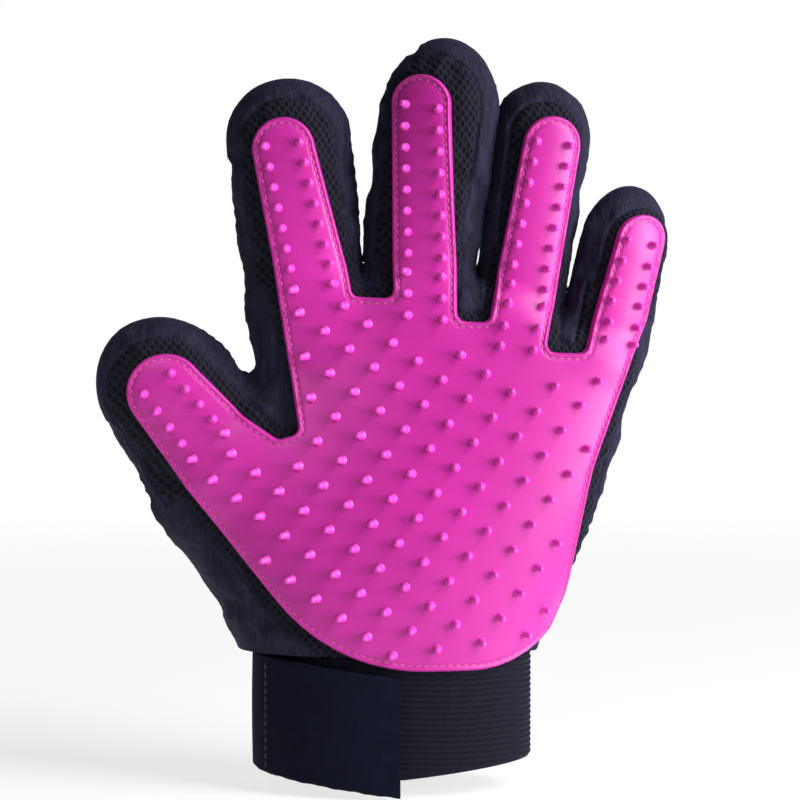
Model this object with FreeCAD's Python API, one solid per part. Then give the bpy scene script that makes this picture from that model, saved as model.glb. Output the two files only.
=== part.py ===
"""Left-hand pet grooming glove: a mesh and knit glove with a silicone nub pad sewn over the palm side,
a ribbed elastic cuff and a hook-and-loop wrist strap. Millimetres.

Frame: origin at the centre of the wrist opening's lowest edge, +Z towards the fingertips, -Y the palm side
(the pad faces -Y), +X the little-finger side. Each digit is built upright in its own frame (X lateral, -Y
palmar, Z along the digit, origin at its base joint) and then placed.
"""

import FreeCAD, Part
import math
import os
from collections import namedtuple

V = FreeCAD.Vector

# ---- driving dimensions -------------------------------------------------------------------------------
WALL = 1.8  # thickness of the sewn fabric
SEAM_GAP = 0.2  # clear gap between panels that meet at a seam
SEAM_START = 2.0  # the front and back panels start this far from the mid-plane
JOINT_GAP = 0.3  # clear gap between two segments of a digit at its joint
PAD_LIFT = 0.3  # clear gap between the fabric and the silicone pad
PAD_THICK = 1.8
NUB_HEIGHT = 3.2
NUB_R = 1.3
NUB_ROOT = 0.8  # how far a nub is sunk into the pad it is moulded with
NUB_ROW_PITCH = 6.6  # along a digit
NUB_GRID_PITCH = 9.8  # square grid over the palm
NUB_GRID_ANGLE = -37.0  # degrees from +X
NUB_GRID_POINT = (17.6, 117.8)  # one nub of the palm's grid, x and z
NUB_EDGE_MARGIN = 4.6
NUB_DEFLECTION = 0.1  # of the mesh that the palm's nubs are stood on
NUB_TIP_MARGIN = 6.0
NUB_CLEAR = 7.0  # least distance from a palm nub to a digit's own rows
PIVOT_PROUD = 1.0  # a flex axis lies this far outside the pad's face

# One row per digit. x, y, z: base joint on the digit's mid-plane. lean: from +Z towards +X. pitch: towards
# the palm side. roll: turns the pad towards +X. base_a, full_a: half widths at the joint and at the widest.
# half_t: half thickness. length: base joint to fingertip. dome: height of the rounded end.
# base_rows: rows of nubs below the middle joint. pad_base, pad_tip: half widths of the pad's strip.
# shift_base, shift_tip: lateral offset of the strip. tip_margin: fabric beyond the strip's end.
# nub_a: half the distance between the two rows of nubs. root: how far the tube runs down into the palm.
Digit = namedtuple(
    "Digit",
    "x y z lean pitch roll base_a full_a half_t length dome base_rows pad_base pad_tip"
    " shift_base shift_tip tip_margin nub_a root",
)
DIGITS = {
    "thumb": Digit(
        -55.5, 1, 105, -37.5, 3, -6, 25.2, 22.8, 12.5, 53, 27, 4, 16.4, 13.3, 0.9, 0.6, 11.5, 6.8, 16
    ),
    "index": Digit(
        -28.6, 0, 164.8, -6.7, 3, 0, 19.0, 18.8, 11.8, 63.0, 19, 5, 11.2, 9.8, 2.6, -1.4, 11.5, 5.9, 22
    ),
    "middle": Digit(
        8.4, -1, 169, 7.6, 3, -10, 17.3, 18.4, 12.0, 72, 30, 6, 10.0, 9.6, 4.0, -3.6, 12, 5.3, 22
    ),
    "ring": Digit(
        41.8, 0.5, 165.4, 7.2, 3, 8, 14.0, 14.4, 11.6, 61.6, 17, 5, 9.5, 9.0, -0.4, 1.6, 10, 4.9, 22
    ),
    "little": Digit(
        68.6, 3.5, 154.5, 12.4, 3, 24, 13.6, 13.2, 10.6, 40, 22, 3, 8.7, 8.3, 0, 0.6, 7.5, 4.3, 20
    ),
}
FINGERS = ["index", "middle", "ring", "little"]
FRONT_PANEL_SHARE = 0.80  # the front mesh panel's half width over the tube's
BACK_PANEL_SHARE = 0.84
PANEL_TIP_INSET = 5.0

# The palm's oval sections from the cuff to the knuckles: height, centre x, half width, half depth.
PALM_SECTIONS = [
    (44.3, 0.0, 45.2, 24.0),
    (62.0, 2.2, 52.5, 25.0),
    (86.0, 8.0, 57.0, 24.5),
    (112.0, 13.0, 59.5, 21.0),
    (140.0, 17.6, 62.6, 16.4),
    (164.0, 19.5, 64.0, 13.0),
]
PAD_FOOT_SECTION = (34.0, 0.0, 45.2, 24.0)  # carries the pad's lower edge down over the cuff
OPEN_FOOT = (30.0, 0.0, 45.2, 24.0)  # carries a hollow out through the lower end
HOLLOW_REACH = 30.0  # how far a finger's hollow runs on past its base joint
THUMB_HOLLOW_REACH = 12.0
THUMB_SIDE_GAP = 0.5  # between the thumb's base segment and the palm's wall beside it
KNUCKLE_PLANE = ((27.0, 162.0), (86.0, 134.0))  # the webs slope down from the first point to the second
THUMB_ROOT = (-16.0, 50.0)  # x and z where the ball of the thumb starts
THUMB_ROOT_HALF = (24.0, 19.0)  # half width and half depth there
THUMB_BALL_T = 14.5  # half depth where it meets the thumb
THUMB_BALL_STEP = 1.5  # the ball ends this much thinner, inside the thumb's tube
THUMB_BALL_SWELL = (2.0, 1.0)  # extra half width and half depth half way along it

# The pad's outline: x, z of its corners with their radii, away from the digits.
PAD_RIGHT_CORNER = (48.9, 38.4, 29.7)
PAD_LEFT_CORNER = (-20.3, 38.4, 60.0)
SLOT_FLOOR = {"index": 158.0, "middle": 150.4, "ring": 140.5}  # slot between this finger and the next
SLOT_RADIUS = 2.5
MESH_MARGIN = 4.0  # mesh showing around the pad on the palm
SLOT_MESH = 3.0  # and in the slots below the side strips
THUMB_CROTCH = ((-36.5, 112.6), (-29.8, 114.6))  # flat bottom of the notch between thumb and index

# The back panel's outline, likewise: from the cuff up its left side, the notch, and the right side's bend.
BACK_FOOT = [(36.0, 30.0, 0), (-36.0, 30.0, 0), (-38.0, 52.0, 12)]
BACK_NOTCH = (-34.0, 124.0, 8)
BACK_RIGHT_CORNER = (44.0, 56.0, 30)
BACK_REACH = 12.0  # it runs up this far beyond the joints, where the digits' own panels take over

# The cuff, the strap and their slant.
CUFF_X = 1.0  # centre of the elastic's oval
CUFF_A, CUFF_B = 43.6, 23.6  # half width and half depth of the elastic's outer face
CUFF_TOP = 44.0
ELASTIC_THICK = 1.6
ELASTIC_BOTTOM = 5.0  # at the front centre
ELASTIC_RISE = 0.11  # rise of its lower edge per millimetre sideways
CUFF_SLIT = (-30.0, -24.0)  # x of the slit under the strap that lets the hand in
TAPE_THICK = 0.8
TAPE_GAP = 0.2
TAPE_Z = (40.0, 48.0)
LOOP_PATCH = (0.15, 0.75)  # inner and outer face, outwards from the elastic's outer face
HOOK_PATCH = (0.95, 1.55)
STRAP = (1.75, 3.15)
STRAP_WIDTH = 38.0
STRAP_SLOPE = -0.133  # the strap drops towards its free end
STRAP_Z_AT_AXIS = 0.0  # its lower edge at x = 0
STRAP_X = (-38.8, -18.0, 2.4)  # sewn line, fold line, free end
STRAP_GAP = 0.4
STRAP_BACK_Y = 6.0  # its sewn end wraps this far round the cuff's side
LOOP_INSET = (2.0, 2.5)  # the loop patch lies inside the strap's end by this much sideways and up and down
HOOK_INSET = (2.5, 1.5)
STITCH_X = -40.6
STITCH_MARGIN = 2.5  # from the strap's lower edge to the first stitch
STITCH_PITCH = 3.0
STITCH_LENGTH = 1.8
STITCH_R = 0.35

TALL = 400.0  # larger than the glove in every direction


# ---- small helpers ------------------------------------------------------------------------------------
def oval(z, x, a, b, y=0.0):
    """A closed elliptical wire at height z, wider along X than along Y."""
    curve = Part.Ellipse(V(x, y, z), a, b)
    return Part.Wire(curve.toShape())


def slab(low, high, axis="z"):
    """All space between two planes across an axis."""
    size = [TALL, TALL, TALL]
    corner = [-TALL / 2, -TALL / 2, -TALL / 2]
    index = "xyz".index(axis)
    size[index], corner[index] = high - low, low
    return Part.makeBox(*size, V(*corner))


def rounded(corners):
    """A closed wire through (x, z, radius) corners in the XZ plane, each corner rounded by its radius."""
    points = [V(x, 0, z) for x, z, r in corners]
    starts, edges = [], []
    for i, (x, z, radius) in enumerate(corners):
        here, back, ahead = points[i], points[i - 1], points[(i + 1) % len(points)]
        u, w = (back - here).normalize(), (ahead - here).normalize()
        half = math.acos(max(-1.0, min(1.0, u.dot(w)))) / 2
        cut = radius / math.tan(half)
        middle = here + (u + w).normalize() * (radius / math.sin(half) - radius)
        starts.append(here + u * cut)
        edges.append((here + u * cut, middle, here + w * cut))
    shapes = []
    for i, (a, m, b) in enumerate(edges):
        if corners[i][2] > 0:
            shapes.append(Part.Arc(a, m, b).toShape())
        following = starts[(i + 1) % len(edges)]
        if (following - b).Length > 1e-6:
            shapes.append(Part.makeLine(b, following))
    return Part.Wire(Part.__sortEdges__(shapes))


def prism(wire, front=True, start=SEAM_START):
    """The wire's area pushed along Y through one side of the glove: the palm side or the back. It starts
    inside the hollow, so the walls between start and -start always belong to the side strips."""
    sign = -1 if front else 1
    face = Part.Face(wire)
    face.translate(V(0, sign * start, 0))
    return face.extrude(V(0, sign * TALL / 2, 0))


def split_at_seams(shell, front_outline, back_outline):
    """Front panel, back panel and what is left at the sides, with a seam gap between them. Each outline is
    a function that takes how far to grow the wire it returns."""
    half = SEAM_GAP / 2
    front = shell.common(prism(front_outline(-half), True))
    back = shell.common(prism(back_outline(-half), False))
    sides = shell.cut(prism(front_outline(half), True, SEAM_START - SEAM_GAP))
    sides = sides.cut(prism(back_outline(half), False, SEAM_START - SEAM_GAP))
    return front, back, sides


# ---- digits -------------------------------------------------------------------------------------------
def directions(d):
    """The digit's unit vectors in the glove's frame: along it, sideways without roll, palmar without roll."""
    lean, pitch = math.radians(d.lean), math.radians(d.pitch)
    along = V(math.sin(lean) * math.cos(pitch), -math.sin(pitch), math.cos(lean) * math.cos(pitch))
    side = V(math.cos(lean), 0, -math.sin(lean))
    return along, side, side.cross(along)


def placement(d):
    """Moves a shape from the digit's own frame into the glove's."""
    along, side, palmar = directions(d)
    roll = math.radians(d.roll)
    x_axis = side * math.cos(roll) - palmar * math.sin(roll)
    y_axis = -(palmar * math.cos(roll) + side * math.sin(roll))
    matrix = FreeCAD.Matrix(
        x_axis.x, y_axis.x, along.x, d.x,
        x_axis.y, y_axis.y, along.y, d.y,
        x_axis.z, y_axis.z, along.z, d.z,
        0, 0, 0, 1,
    )
    return FreeCAD.Placement(matrix)


def placed(shape, d):
    shape = shape.copy()
    shape.Placement = placement(d).multiply(shape.Placement)
    return shape


def tube(d, offset, down):
    """The digit's closed round-ended form, offset outwards from the fabric's outer face and run down below
    the joint. A flank arc that swells to the full width is followed by half an ellipse."""
    top = d.length - d.dome
    base, full, swell = d.base_a + offset, d.full_a + offset, d.full_a - d.base_a
    radius = (top**2 + swell**2) / (2 * swell)
    height = top / 2
    bulge = math.copysign(math.sqrt(radius**2 - (top - height) ** 2), radius)
    flank = Part.Arc(V(base, 0, 0), V(full - radius + bulge, 0, height), V(full, 0, top)).toShape()
    tip = d.length + offset
    cap = Part.ArcOfEllipse(Part.Ellipse(V(0, 0, tip), V(full, 0, top), V(0, 0, top)), 0, math.pi / 2)
    foot, side = V(base, 0, -down), V(base, 0, 0)
    edges = [Part.makeLine(V(0, 0, -down), foot), Part.makeLine(foot, side)]
    edges += [flank, cap.toShape(), Part.makeLine(V(0, 0, tip), V(0, 0, -down))]
    profile = Part.Face(Part.Wire(Part.__sortEdges__(edges)))
    solid = profile.revolve(V(0, 0, 0), V(0, 0, 1), 360)
    squeeze = FreeCAD.Matrix()
    squeeze.scale(1, (d.half_t + offset) / full, 1)
    return solid.transformGeometry(squeeze)


def strip_wire(d, low, high, base_half, tip_half, end, shift_base=0.0, shift_tip=0.0):
    """A tapered strip with a round end at height `end`, in the digit's XZ plane, from `low` to `high`.
    base_half and tip_half are its half widths at the joint and at the round end."""
    centre = end - tip_half
    slope = (tip_half - base_half) / centre
    drift = (shift_tip - shift_base) / centre

    def edge(z, sign):
        return V(shift_base + drift * z + sign * (base_half + slope * z), 0, z)

    if high < centre:
        corners = [edge(low, -1), edge(low, 1), edge(high, 1), edge(high, -1)]
        return Part.makePolygon(corners + corners[:1])
    left, right, crown = edge(centre, -1), edge(centre, 1), V(shift_tip, 0, end)
    return Part.Wire([
        Part.makeLine(left, edge(low, -1)),
        Part.makeLine(edge(low, -1), edge(low, 1)),
        Part.makeLine(edge(low, 1), right),
        Part.Arc(right, crown, left).toShape(),
    ])


def panel_outline(d, low, high, share):
    """A front or back panel's outline as a function of how far to grow it."""
    tip = d.length - PANEL_TIP_INSET
    return lambda grow: strip_wire(d, low, high, d.base_a * share + grow, d.full_a * share + grow, tip + grow)


def nub_form():
    """One moulded nub standing on the origin: a short round-ended rod, its root below."""
    shoulder = NUB_HEIGHT - NUB_R
    foot, low = V(0, 0, -NUB_ROOT), V(NUB_R, 0, -NUB_ROOT)
    mid, top = V(NUB_R, 0, shoulder), V(0, 0, NUB_HEIGHT)
    bulge = V(NUB_R * math.sqrt(0.5), 0, shoulder + NUB_R * math.sqrt(0.5))
    edges = [
        Part.makeLine(foot, low),
        Part.makeLine(low, mid),
        Part.Arc(mid, bulge, top).toShape(),
        Part.makeLine(top, foot),
    ]
    return Part.Face(Part.Wire(edges)).revolve(V(0, 0, 0), V(0, 0, 1), 360)


NUB = nub_form()


def nub(point, outward):
    """The nub form placed on the pad's face."""
    shape = NUB.copy()
    shape.Placement = FreeCAD.Placement(point, FreeCAD.Rotation(V(0, 0, 1), outward))
    return shape


def digit_surface(d, x, z):
    """Point and outward direction on the pad's face of a digit, at lateral place x and height z."""
    a = d.full_a + PAD_LIFT + PAD_THICK
    b = d.half_t + PAD_LIFT + PAD_THICK
    depth = b * math.sqrt(1 - (x / a) ** 2)
    return V(x, -depth, z), V(x / a**2, -depth / b**2, 0).normalize()


def knuckle(d):
    """Height of the middle joint: like the base joint it falls half way between two rows of nubs."""
    return d.base_rows * NUB_ROW_PITCH


def digit_rows(d):
    """Heights of the nub rows."""
    first = NUB_ROW_PITCH / 2
    last = d.length - d.tip_margin - NUB_TIP_MARGIN
    return [first + i * NUB_ROW_PITCH for i in range(int((last - first) / NUB_ROW_PITCH) + 1)]


def strip_at(d, z):
    """Lateral centre and half width of the pad's strip at height z."""
    part = z / (d.length - d.tip_margin - d.pad_tip)
    return d.shift_base + (d.shift_tip - d.shift_base) * part, d.pad_base + (d.pad_tip - d.pad_base) * part


def pad_segment(d, low, high):
    """The silicone strip of one segment with its moulded nubs."""
    end = d.length - d.tip_margin
    wire = strip_wire(d, low, high, d.pad_base, d.pad_tip, end, d.shift_base, d.shift_tip)
    hollow = tube(d, PAD_LIFT, 5)
    sheet = prism(wire).common(tube(d, PAD_LIFT + PAD_THICK, 5).cut(hollow))
    nubs = []
    for z in digit_rows(d):
        if low + NUB_R < z < high - NUB_R:
            centre, half = strip_at(d, z)
            spread = d.nub_a * half / d.pad_base
            nubs += [nub(*digit_surface(d, centre + side * spread, z)) for side in (-1, 1)]
    return sheet.fuse(nubs)


def digit_parts(name, d):
    """Every node of a digit: front panel, back panel, side strips and pad, for its two segments."""
    fabric = tube(d, 0, 5).cut(tube(d, -WALL, 8))
    half = JOINT_GAP / 2
    parts = {}
    for segment, low, high in (("base", half, knuckle(d) - half), ("tip", knuckle(d) + half, d.length + 5)):
        ring = fabric.common(slab(low, high))
        front, back, sides = split_at_seams(
            ring,
            panel_outline(d, low - 9, high + 9, FRONT_PANEL_SHARE),
            panel_outline(d, low - 9, high + 9, BACK_PANEL_SHARE),
        )
        parts[f"{name}_{segment}_front_panel"] = front
        parts[f"{name}_{segment}_back_panel"] = back
        parts[f"{name}_{segment}_side_strip"] = sides
        parts[f"{name}_{segment}_pad"] = pad_segment(d, low, min(high, d.length))
    return {node: placed(shape, d) for node, shape in parts.items()}


# ---- palm ---------------------------------------------------------------------------------------------
def palm_form(offset, foot=PALM_SECTIONS[0]):
    """The palm's closed form, offset outwards from the fabric's outer face: a loft through the ovals, the
    ball of the thumb and the roots of the fingers. foot is its lowest oval. A form smaller than the fabric
    (a negative offset) is the hollow: it runs on past the joints so that the digits stay open inside."""
    sections = [foot] + PALM_SECTIONS[1:]
    body = Part.makeLoft([oval(z, x, a + offset, b + offset) for z, x, a, b in sections], True)
    body = body.cut(above_webs(offset)).cut(beside_thumb(offset))
    for name in FINGERS:
        d = DIGITS[name]
        reach = HOLLOW_REACH if offset < 0 else -JOINT_GAP / 2
        root = tube(d, offset, d.root).common(slab(-d.root, reach))
        body = body.fuse(placed(root, d))
    return body.fuse(thumb_ball(offset)).common(slab(foot[0], TALL / 2))


def above_webs(offset):
    """All space above the webs between the fingers, which slope down towards the little finger."""
    (x0, z0), (x1, z1) = KNUCKLE_PLANE
    edge = [(-TALL, z0), (x0, z0), (x1, z1), (TALL, z1), (TALL, TALL), (-TALL, TALL), (-TALL, z0)]
    wire = Part.makePolygon([V(x, -TALL / 2, z if z == TALL else z + offset) for x, z in edge])
    return Part.Face(wire).extrude(V(0, TALL, 0))


def beside_thumb(offset):
    """The space the thumb's base segment needs beyond its joint: the palm's wall turns up beside it."""
    d = DIGITS["thumb"]
    side = d.base_a + THUMB_SIDE_GAP - offset
    low = -JOINT_GAP / 2 + min(offset, 0.0)
    return placed(Part.makeBox(TALL, TALL, TALL, V(side - TALL, -TALL / 2, low)), d)


def thumb_ball(offset):
    """The ball of the thumb: a tapered oval tube from the wrist to the thumb's base joint."""
    d = DIGITS["thumb"]
    to_local = placement(d).inverse()
    foot = to_local.multVec(V(THUMB_ROOT[0], d.y, THUMB_ROOT[1]))
    a, b = THUMB_ROOT_HALF
    reach = THUMB_HOLLOW_REACH if offset < 0 else -JOINT_GAP / 2
    middle_a = (a + d.base_a) / 2 + THUMB_BALL_SWELL[0]
    middle_b = (b + THUMB_BALL_T) / 2 + THUMB_BALL_SWELL[1]
    wires = [
        oval(foot.z, foot.x, a + offset, b + offset),
        oval(foot.z / 2, foot.x / 2, middle_a + offset, middle_b + offset),
        oval(reach, 0, d.base_a + offset, THUMB_BALL_T - THUMB_BALL_STEP + offset),
    ]
    return placed(Part.makeLoft(wires, True), d)


def strip_point(d, z, side, extra=0.0):
    """x, z in the glove's frame of the pad strip's edge at height z of the digit, seen from the front."""
    centre, half = strip_at(d, z)
    x = centre + side * (half + extra)
    limit = d.base_a * FRONT_PANEL_SHARE + 1.5
    x = max(-limit, min(limit, x))
    point = placement(d).multVec(V(x, digit_surface(d, x, z)[0].y, z))
    return point.x, point.z


def strip_edge(d, side, extra=0.0):
    """A strip's edge at the joint, and its direction down into the palm."""
    top = strip_point(d, -JOINT_GAP / 2, side, extra)
    below = strip_point(d, -10.0, side, extra)
    return top, ((below[0] - top[0]) / 10.0, (below[1] - top[1]) / 10.0)


def meet(start, direction, height):
    """Where a line from start along direction reaches a height."""
    t = (height - start[1]) / direction[1]
    return start[0] + direction[0] * t, height


def palm_outline(extra=0.0, floor_extra=0.0):
    """The pad's outline over the palm as (x, z, radius) corners. extra widens it, for the panel below it."""
    corners = []
    slot_r = SLOT_RADIUS - extra / 4
    right_top, down = strip_edge(DIGITS["little"], 1, extra)
    x, z, r = PAD_RIGHT_CORNER
    corners.append((*right_top, 0))
    corners.append((x + extra, z - extra, r + extra))
    x, z, r = PAD_LEFT_CORNER
    corners.append((x - extra / 2, z - extra, r + extra))
    thumb = DIGITS["thumb"]
    corners.append((*strip_edge(thumb, -1, extra)[0], 0))
    corners.append((*strip_edge(thumb, 1, extra)[0], 0))
    for x, z in THUMB_CROTCH:
        corners.append((x, z + floor_extra, slot_r))
    for i, name in enumerate(FINGERS):
        d = DIGITS[name]
        left, left_down = strip_edge(d, -1, extra)
        right, right_down = strip_edge(d, 1, extra)
        if i:
            corners.append((*meet(left, left_down, SLOT_FLOOR[FINGERS[i - 1]] + floor_extra - 0.4), slot_r))
        corners.append((*left, 0))
        if i + 1 < len(FINGERS):
            corners.append((*right, 0))
            corners.append((*meet(right, right_down, SLOT_FLOOR[name] + floor_extra), slot_r))
    return rounded(corners)


def grid_points(wire):
    """The palm's square grid of nubs, kept inside the outline by the edge margin and clear of digit rows."""
    area = Part.Face(wire)
    angle = math.radians(NUB_GRID_ANGLE)
    u = V(math.cos(angle), 0, math.sin(angle)) * NUB_GRID_PITCH
    w = V(-math.sin(angle), 0, math.cos(angle)) * NUB_GRID_PITCH
    taken = root_rows()
    points = []
    for i in range(-15, 16):
        for j in range(-15, 16):
            p = V(NUB_GRID_POINT[0], 0, NUB_GRID_POINT[1]) + u * i + w * j
            clear = all((p - V(x, 0, z)).Length > NUB_CLEAR for x, z in taken)
            if not clear or not area.isInside(p, 0.01, True):
                continue
            if wire.distToShape(Part.Vertex(p))[0] > NUB_EDGE_MARGIN:
                points.append((p.x, p.z))
    return points + taken


def root_rows():
    """The fingers' rows of nubs carried on below their joints, down to the slots."""
    points = []
    for name in FINGERS:
        d = DIGITS[name]
        floors = [SLOT_FLOOR.get(name), SLOT_FLOOR.get(FINGERS[max(FINGERS.index(name) - 1, 0)])]
        lowest = min(f for f in floors if f)
        z = digit_rows(d)[0] - NUB_ROW_PITCH
        while True:
            pair = [strip_point(d, z, side, d.nub_a - d.pad_base) for side in (-1, 1)]
            if pair[0][1] < lowest + 1.0:
                break
            points += pair
            z -= NUB_ROW_PITCH
    return points


def first_hit(mesh, x, z):
    """Where a line along +Y through (x, z) first meets a mesh, and the outward direction there."""
    points, triangles = mesh
    found = []
    for corners in triangles:
        p, q, r = (points[i] for i in corners)
        normal = (q - p).cross(r - p)
        if normal.y > -1e-9 or not min(p.x, q.x, r.x) <= x <= max(p.x, q.x, r.x):
            continue
        y = p.y - ((x - p.x) * normal.x + (z - p.z) * normal.z) / normal.y
        hit = V(x, y, z)
        pairs = ((p, q), (q, r), (r, p))
        if all((second - first).cross(hit - first).dot(normal) >= 0 for first, second in pairs):
            found.append((y, hit, normal.normalize()))
    return min(found, key=lambda item: item[0])[1:]


def palm_parts():
    """The palm's panels, its side strips with the webs between the fingers, and its pad."""
    fabric = palm_form(0).cut(palm_form(-WALL, OPEN_FOOT))
    front, back, sides = split_at_seams(
        fabric,
        lambda grow: palm_outline(MESH_MARGIN + grow, SLOT_MESH + grow),
        lambda grow: back_outline().makeOffset2D(grow),
    )
    outer = palm_form(PAD_LIFT + PAD_THICK, PAD_FOOT_SECTION)
    sheet = prism(palm_outline()).common(outer.cut(palm_form(PAD_LIFT, OPEN_FOOT)))
    mesh = outer.tessellate(NUB_DEFLECTION)
    nubs = [nub(*first_hit(mesh, x, z)) for x, z in grid_points(palm_outline())]
    return {
        "palm_front_panel": front,
        "palm_back_panel": back,
        "palm_side_strips": sides,
        "palm_pad": sheet.fuse(nubs),
    }


def back_outline():
    """The back panel's outline: from the cuff up to the joints, inside the side strips."""
    thumb, little, index = DIGITS["thumb"], DIGITS["little"], DIGITS["index"]

    def side_of(d, z, side):
        p = placement(d).multVec(V(side * d.base_a * BACK_PANEL_SHARE, 0, z))
        return p.x, p.z

    reach = [(*side_of(thumb, BACK_REACH, side), 0) for side in (-1, 1)]
    corners = BACK_FOOT + reach + [BACK_NOTCH]
    corners += [(*side_of(index, BACK_REACH, -1), 0), (*side_of(little, 2 * BACK_REACH, 1), 0)]
    corners += [(*side_of(little, -2, 1), 20), BACK_RIGHT_CORNER]
    return rounded(corners)


# ---- cuff and strap -----------------------------------------------------------------------------------
def cuff_ring(inner, outer, low=-5.0, high=60.0):
    """An oval ring between two offsets from the elastic's outer face."""
    wires = [oval(low, CUFF_X, CUFF_A + offset, CUFF_B + offset) for offset in (outer, inner)]
    solids = [Part.Face(wire).extrude(V(0, 0, high - low)) for wire in wires]
    return solids[0].cut(solids[1])


def below(slope_left, slope_right, x, z):
    """All space below a shallow V of two slopes that meets at x, z."""
    right, left = z + slope_right * (TALL - x), z - slope_left * (TALL + x)
    corners = [(x, z), (TALL, right), (TALL, -TALL), (-TALL, -TALL), (-TALL, left)]
    wire = Part.makePolygon([V(px, -TALL, pz) for px, pz in corners + corners[:1]])
    return Part.Face(wire).extrude(V(0, 2 * TALL, 0))


def front_part(ring, x0, x1, y1=-0.2):
    """The part of a ring at the front between two x."""
    return ring.common(Part.makeBox(x1 - x0, TALL, TALL, V(x0, y1 - TALL, -TALL / 2)))


def strap_band(inner, outer, trim=0.0):
    """The slanted band that the strap, its fold and its patches are cut from."""
    low = below(STRAP_SLOPE, STRAP_SLOPE, 0, STRAP_Z_AT_AXIS + trim)
    high = below(STRAP_SLOPE, STRAP_SLOPE, 0, STRAP_Z_AT_AXIS + STRAP_WIDTH - trim)
    return cuff_ring(inner, outer).common(high).cut(low)


def cuff_parts():
    """The elastic with its slit, the tape inside its upper edge, the loop patch and the strap's sewn end."""
    elastic = cuff_ring(-ELASTIC_THICK, 0, -5, CUFF_TOP)
    elastic = elastic.cut(below(-ELASTIC_RISE, ELASTIC_RISE, 3.0, ELASTIC_BOTTOM))
    elastic = elastic.cut(front_part(cuff_ring(-5, 5), *CUFF_SLIT))
    tape_face = -ELASTIC_THICK - TAPE_GAP
    tape = cuff_ring(tape_face - TAPE_THICK, tape_face, *TAPE_Z)
    tape = tape.cut(front_part(cuff_ring(-9, 5), *CUFF_SLIT))
    loop = front_part(strap_band(*LOOP_PATCH, trim=LOOP_INSET[1]), STRAP_X[1] + LOOP_INSET[0], STRAP_X[2] - 1)
    loop = loop.cut(below(-ELASTIC_RISE, ELASTIC_RISE, 3.0, ELASTIC_BOTTOM + 1.5))
    sewn = strap_band(LOOP_PATCH[0], STRAP[1])
    anchor = front_part(sewn, -CUFF_A - 10, STRAP_X[0] - STRAP_GAP / 2, STRAP_BACK_Y)
    return {
        "cuff_elastic": elastic,
        "cuff_seam_tape": tape,
        "cuff_loop_patch": loop,
        "strap_sewn_end": anchor,
        "strap_stitches": strap_stitches(),
    }


def cuff_face(x, offset):
    """y of the front of an oval offset from the elastic, and the outward direction there."""
    a, b = CUFF_A + offset, CUFF_B + offset
    y = -b * math.sqrt(1 - ((x - CUFF_X) / a) ** 2)
    return y, V((x - CUFF_X) / a**2, y / b**2, 0).normalize()


def strap_stitches():
    """The row of thread stitches that holds the strap's end: short rods lying on its outer face."""
    y, outward = cuff_face(STITCH_X, STRAP[1] + 0.05 + STITCH_R)
    low = STRAP_Z_AT_AXIS + STRAP_SLOPE * STITCH_X
    count = int((STRAP_WIDTH - 4) / STITCH_PITCH)  # the row stops short of both edges
    rods = []
    for i in range(count):
        z = low + STITCH_MARGIN + i * STITCH_PITCH
        rods.append(Part.makeCylinder(STITCH_R, STITCH_LENGTH, V(STITCH_X, y, z), V(0, 0, 1)))
    return Part.makeCompound(rods)


def strap_parts():
    """The two moving lengths of the strap and the hook patch under its end."""
    band = strap_band(*STRAP)
    gap = STRAP_GAP / 2
    inner = front_part(band, STRAP_X[0] + gap, STRAP_X[1] - gap)
    end = front_part(band, STRAP_X[1] + gap, STRAP_X[2])
    hook_band = strap_band(*HOOK_PATCH, trim=HOOK_INSET[1])
    hook = front_part(hook_band, STRAP_X[1] + HOOK_INSET[0], STRAP_X[2] - HOOK_INSET[1])
    return {"strap_inner_length": inner, "strap_end_length": end, "strap_hook_patch": hook}


# ---- joints -------------------------------------------------------------------------------------------
def flex_axis(name, height):
    """A digit's flex axis: a point just outside the pad's face, and the direction that closes the hand."""
    d = DIGITS[name]
    along, side, palmar = directions(d)
    roll = math.radians(d.roll)
    half_t = THUMB_BALL_T if (name == "thumb" and height == 0) else d.half_t
    lift = PAD_LIFT + PAD_THICK
    reach = math.hypot((d.full_a + lift) * math.sin(roll), (half_t + lift) * math.cos(roll))
    return V(d.x, d.y, d.z) + along * height + palmar * (reach + PIVOT_PROUD), side


def joints():
    """Every joint as name: (point, axis). The record's joints use these."""
    found = {}
    for name, d in DIGITS.items():
        found[f"{name}_base_flex"] = flex_axis(name, 0)
        found[f"{name}_tip_flex"] = flex_axis(name, knuckle(d))
    for name, x in (("strap_open", STRAP_X[0]), ("strap_peel", STRAP_X[1])):
        y, outward = cuff_face(x, STRAP[1] + 0.1)
        found[name] = (V(x, y, STRAP_WIDTH / 2), V(0, 0, -1))
    return found


def main():
    os.makedirs("parts", exist_ok=True)
    parts = {**palm_parts(), **cuff_parts(), **strap_parts()}
    for name, d in DIGITS.items():
        parts.update(digit_parts(name, d))
    for node, shape in parts.items():
        solids = [s for s in shape.Solids if s.Volume > 0.1]
        result = solids[0] if len(solids) == 1 else Part.makeCompound(solids)
        result.exportStep(f"parts/{node}.step")
        volume = sum(s.Volume for s in solids)
        print(f"{node}: {len(solids)} solids, {volume:.0f} mm3, valid {result.isValid()}")
    for name, (point, axis) in joints().items():
        print("joint", name, [round(v, 2) for v in point], [round(v, 4) for v in axis])


main()
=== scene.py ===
"""Looks of the left-hand grooming glove: a sewn mesh and knit skin, a moulded silicone pad with nubs and
stitching, a ribbed elastic cuff and a hook-and-loop strap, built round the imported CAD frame. Lengths in the
tables and in the mesh code are millimetres in the CAD's frame; objects are made in metres."""

import math
from collections import namedtuple

import bpy
import numpy as np
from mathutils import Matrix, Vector
from mathutils.kdtree import KDTree


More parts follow.
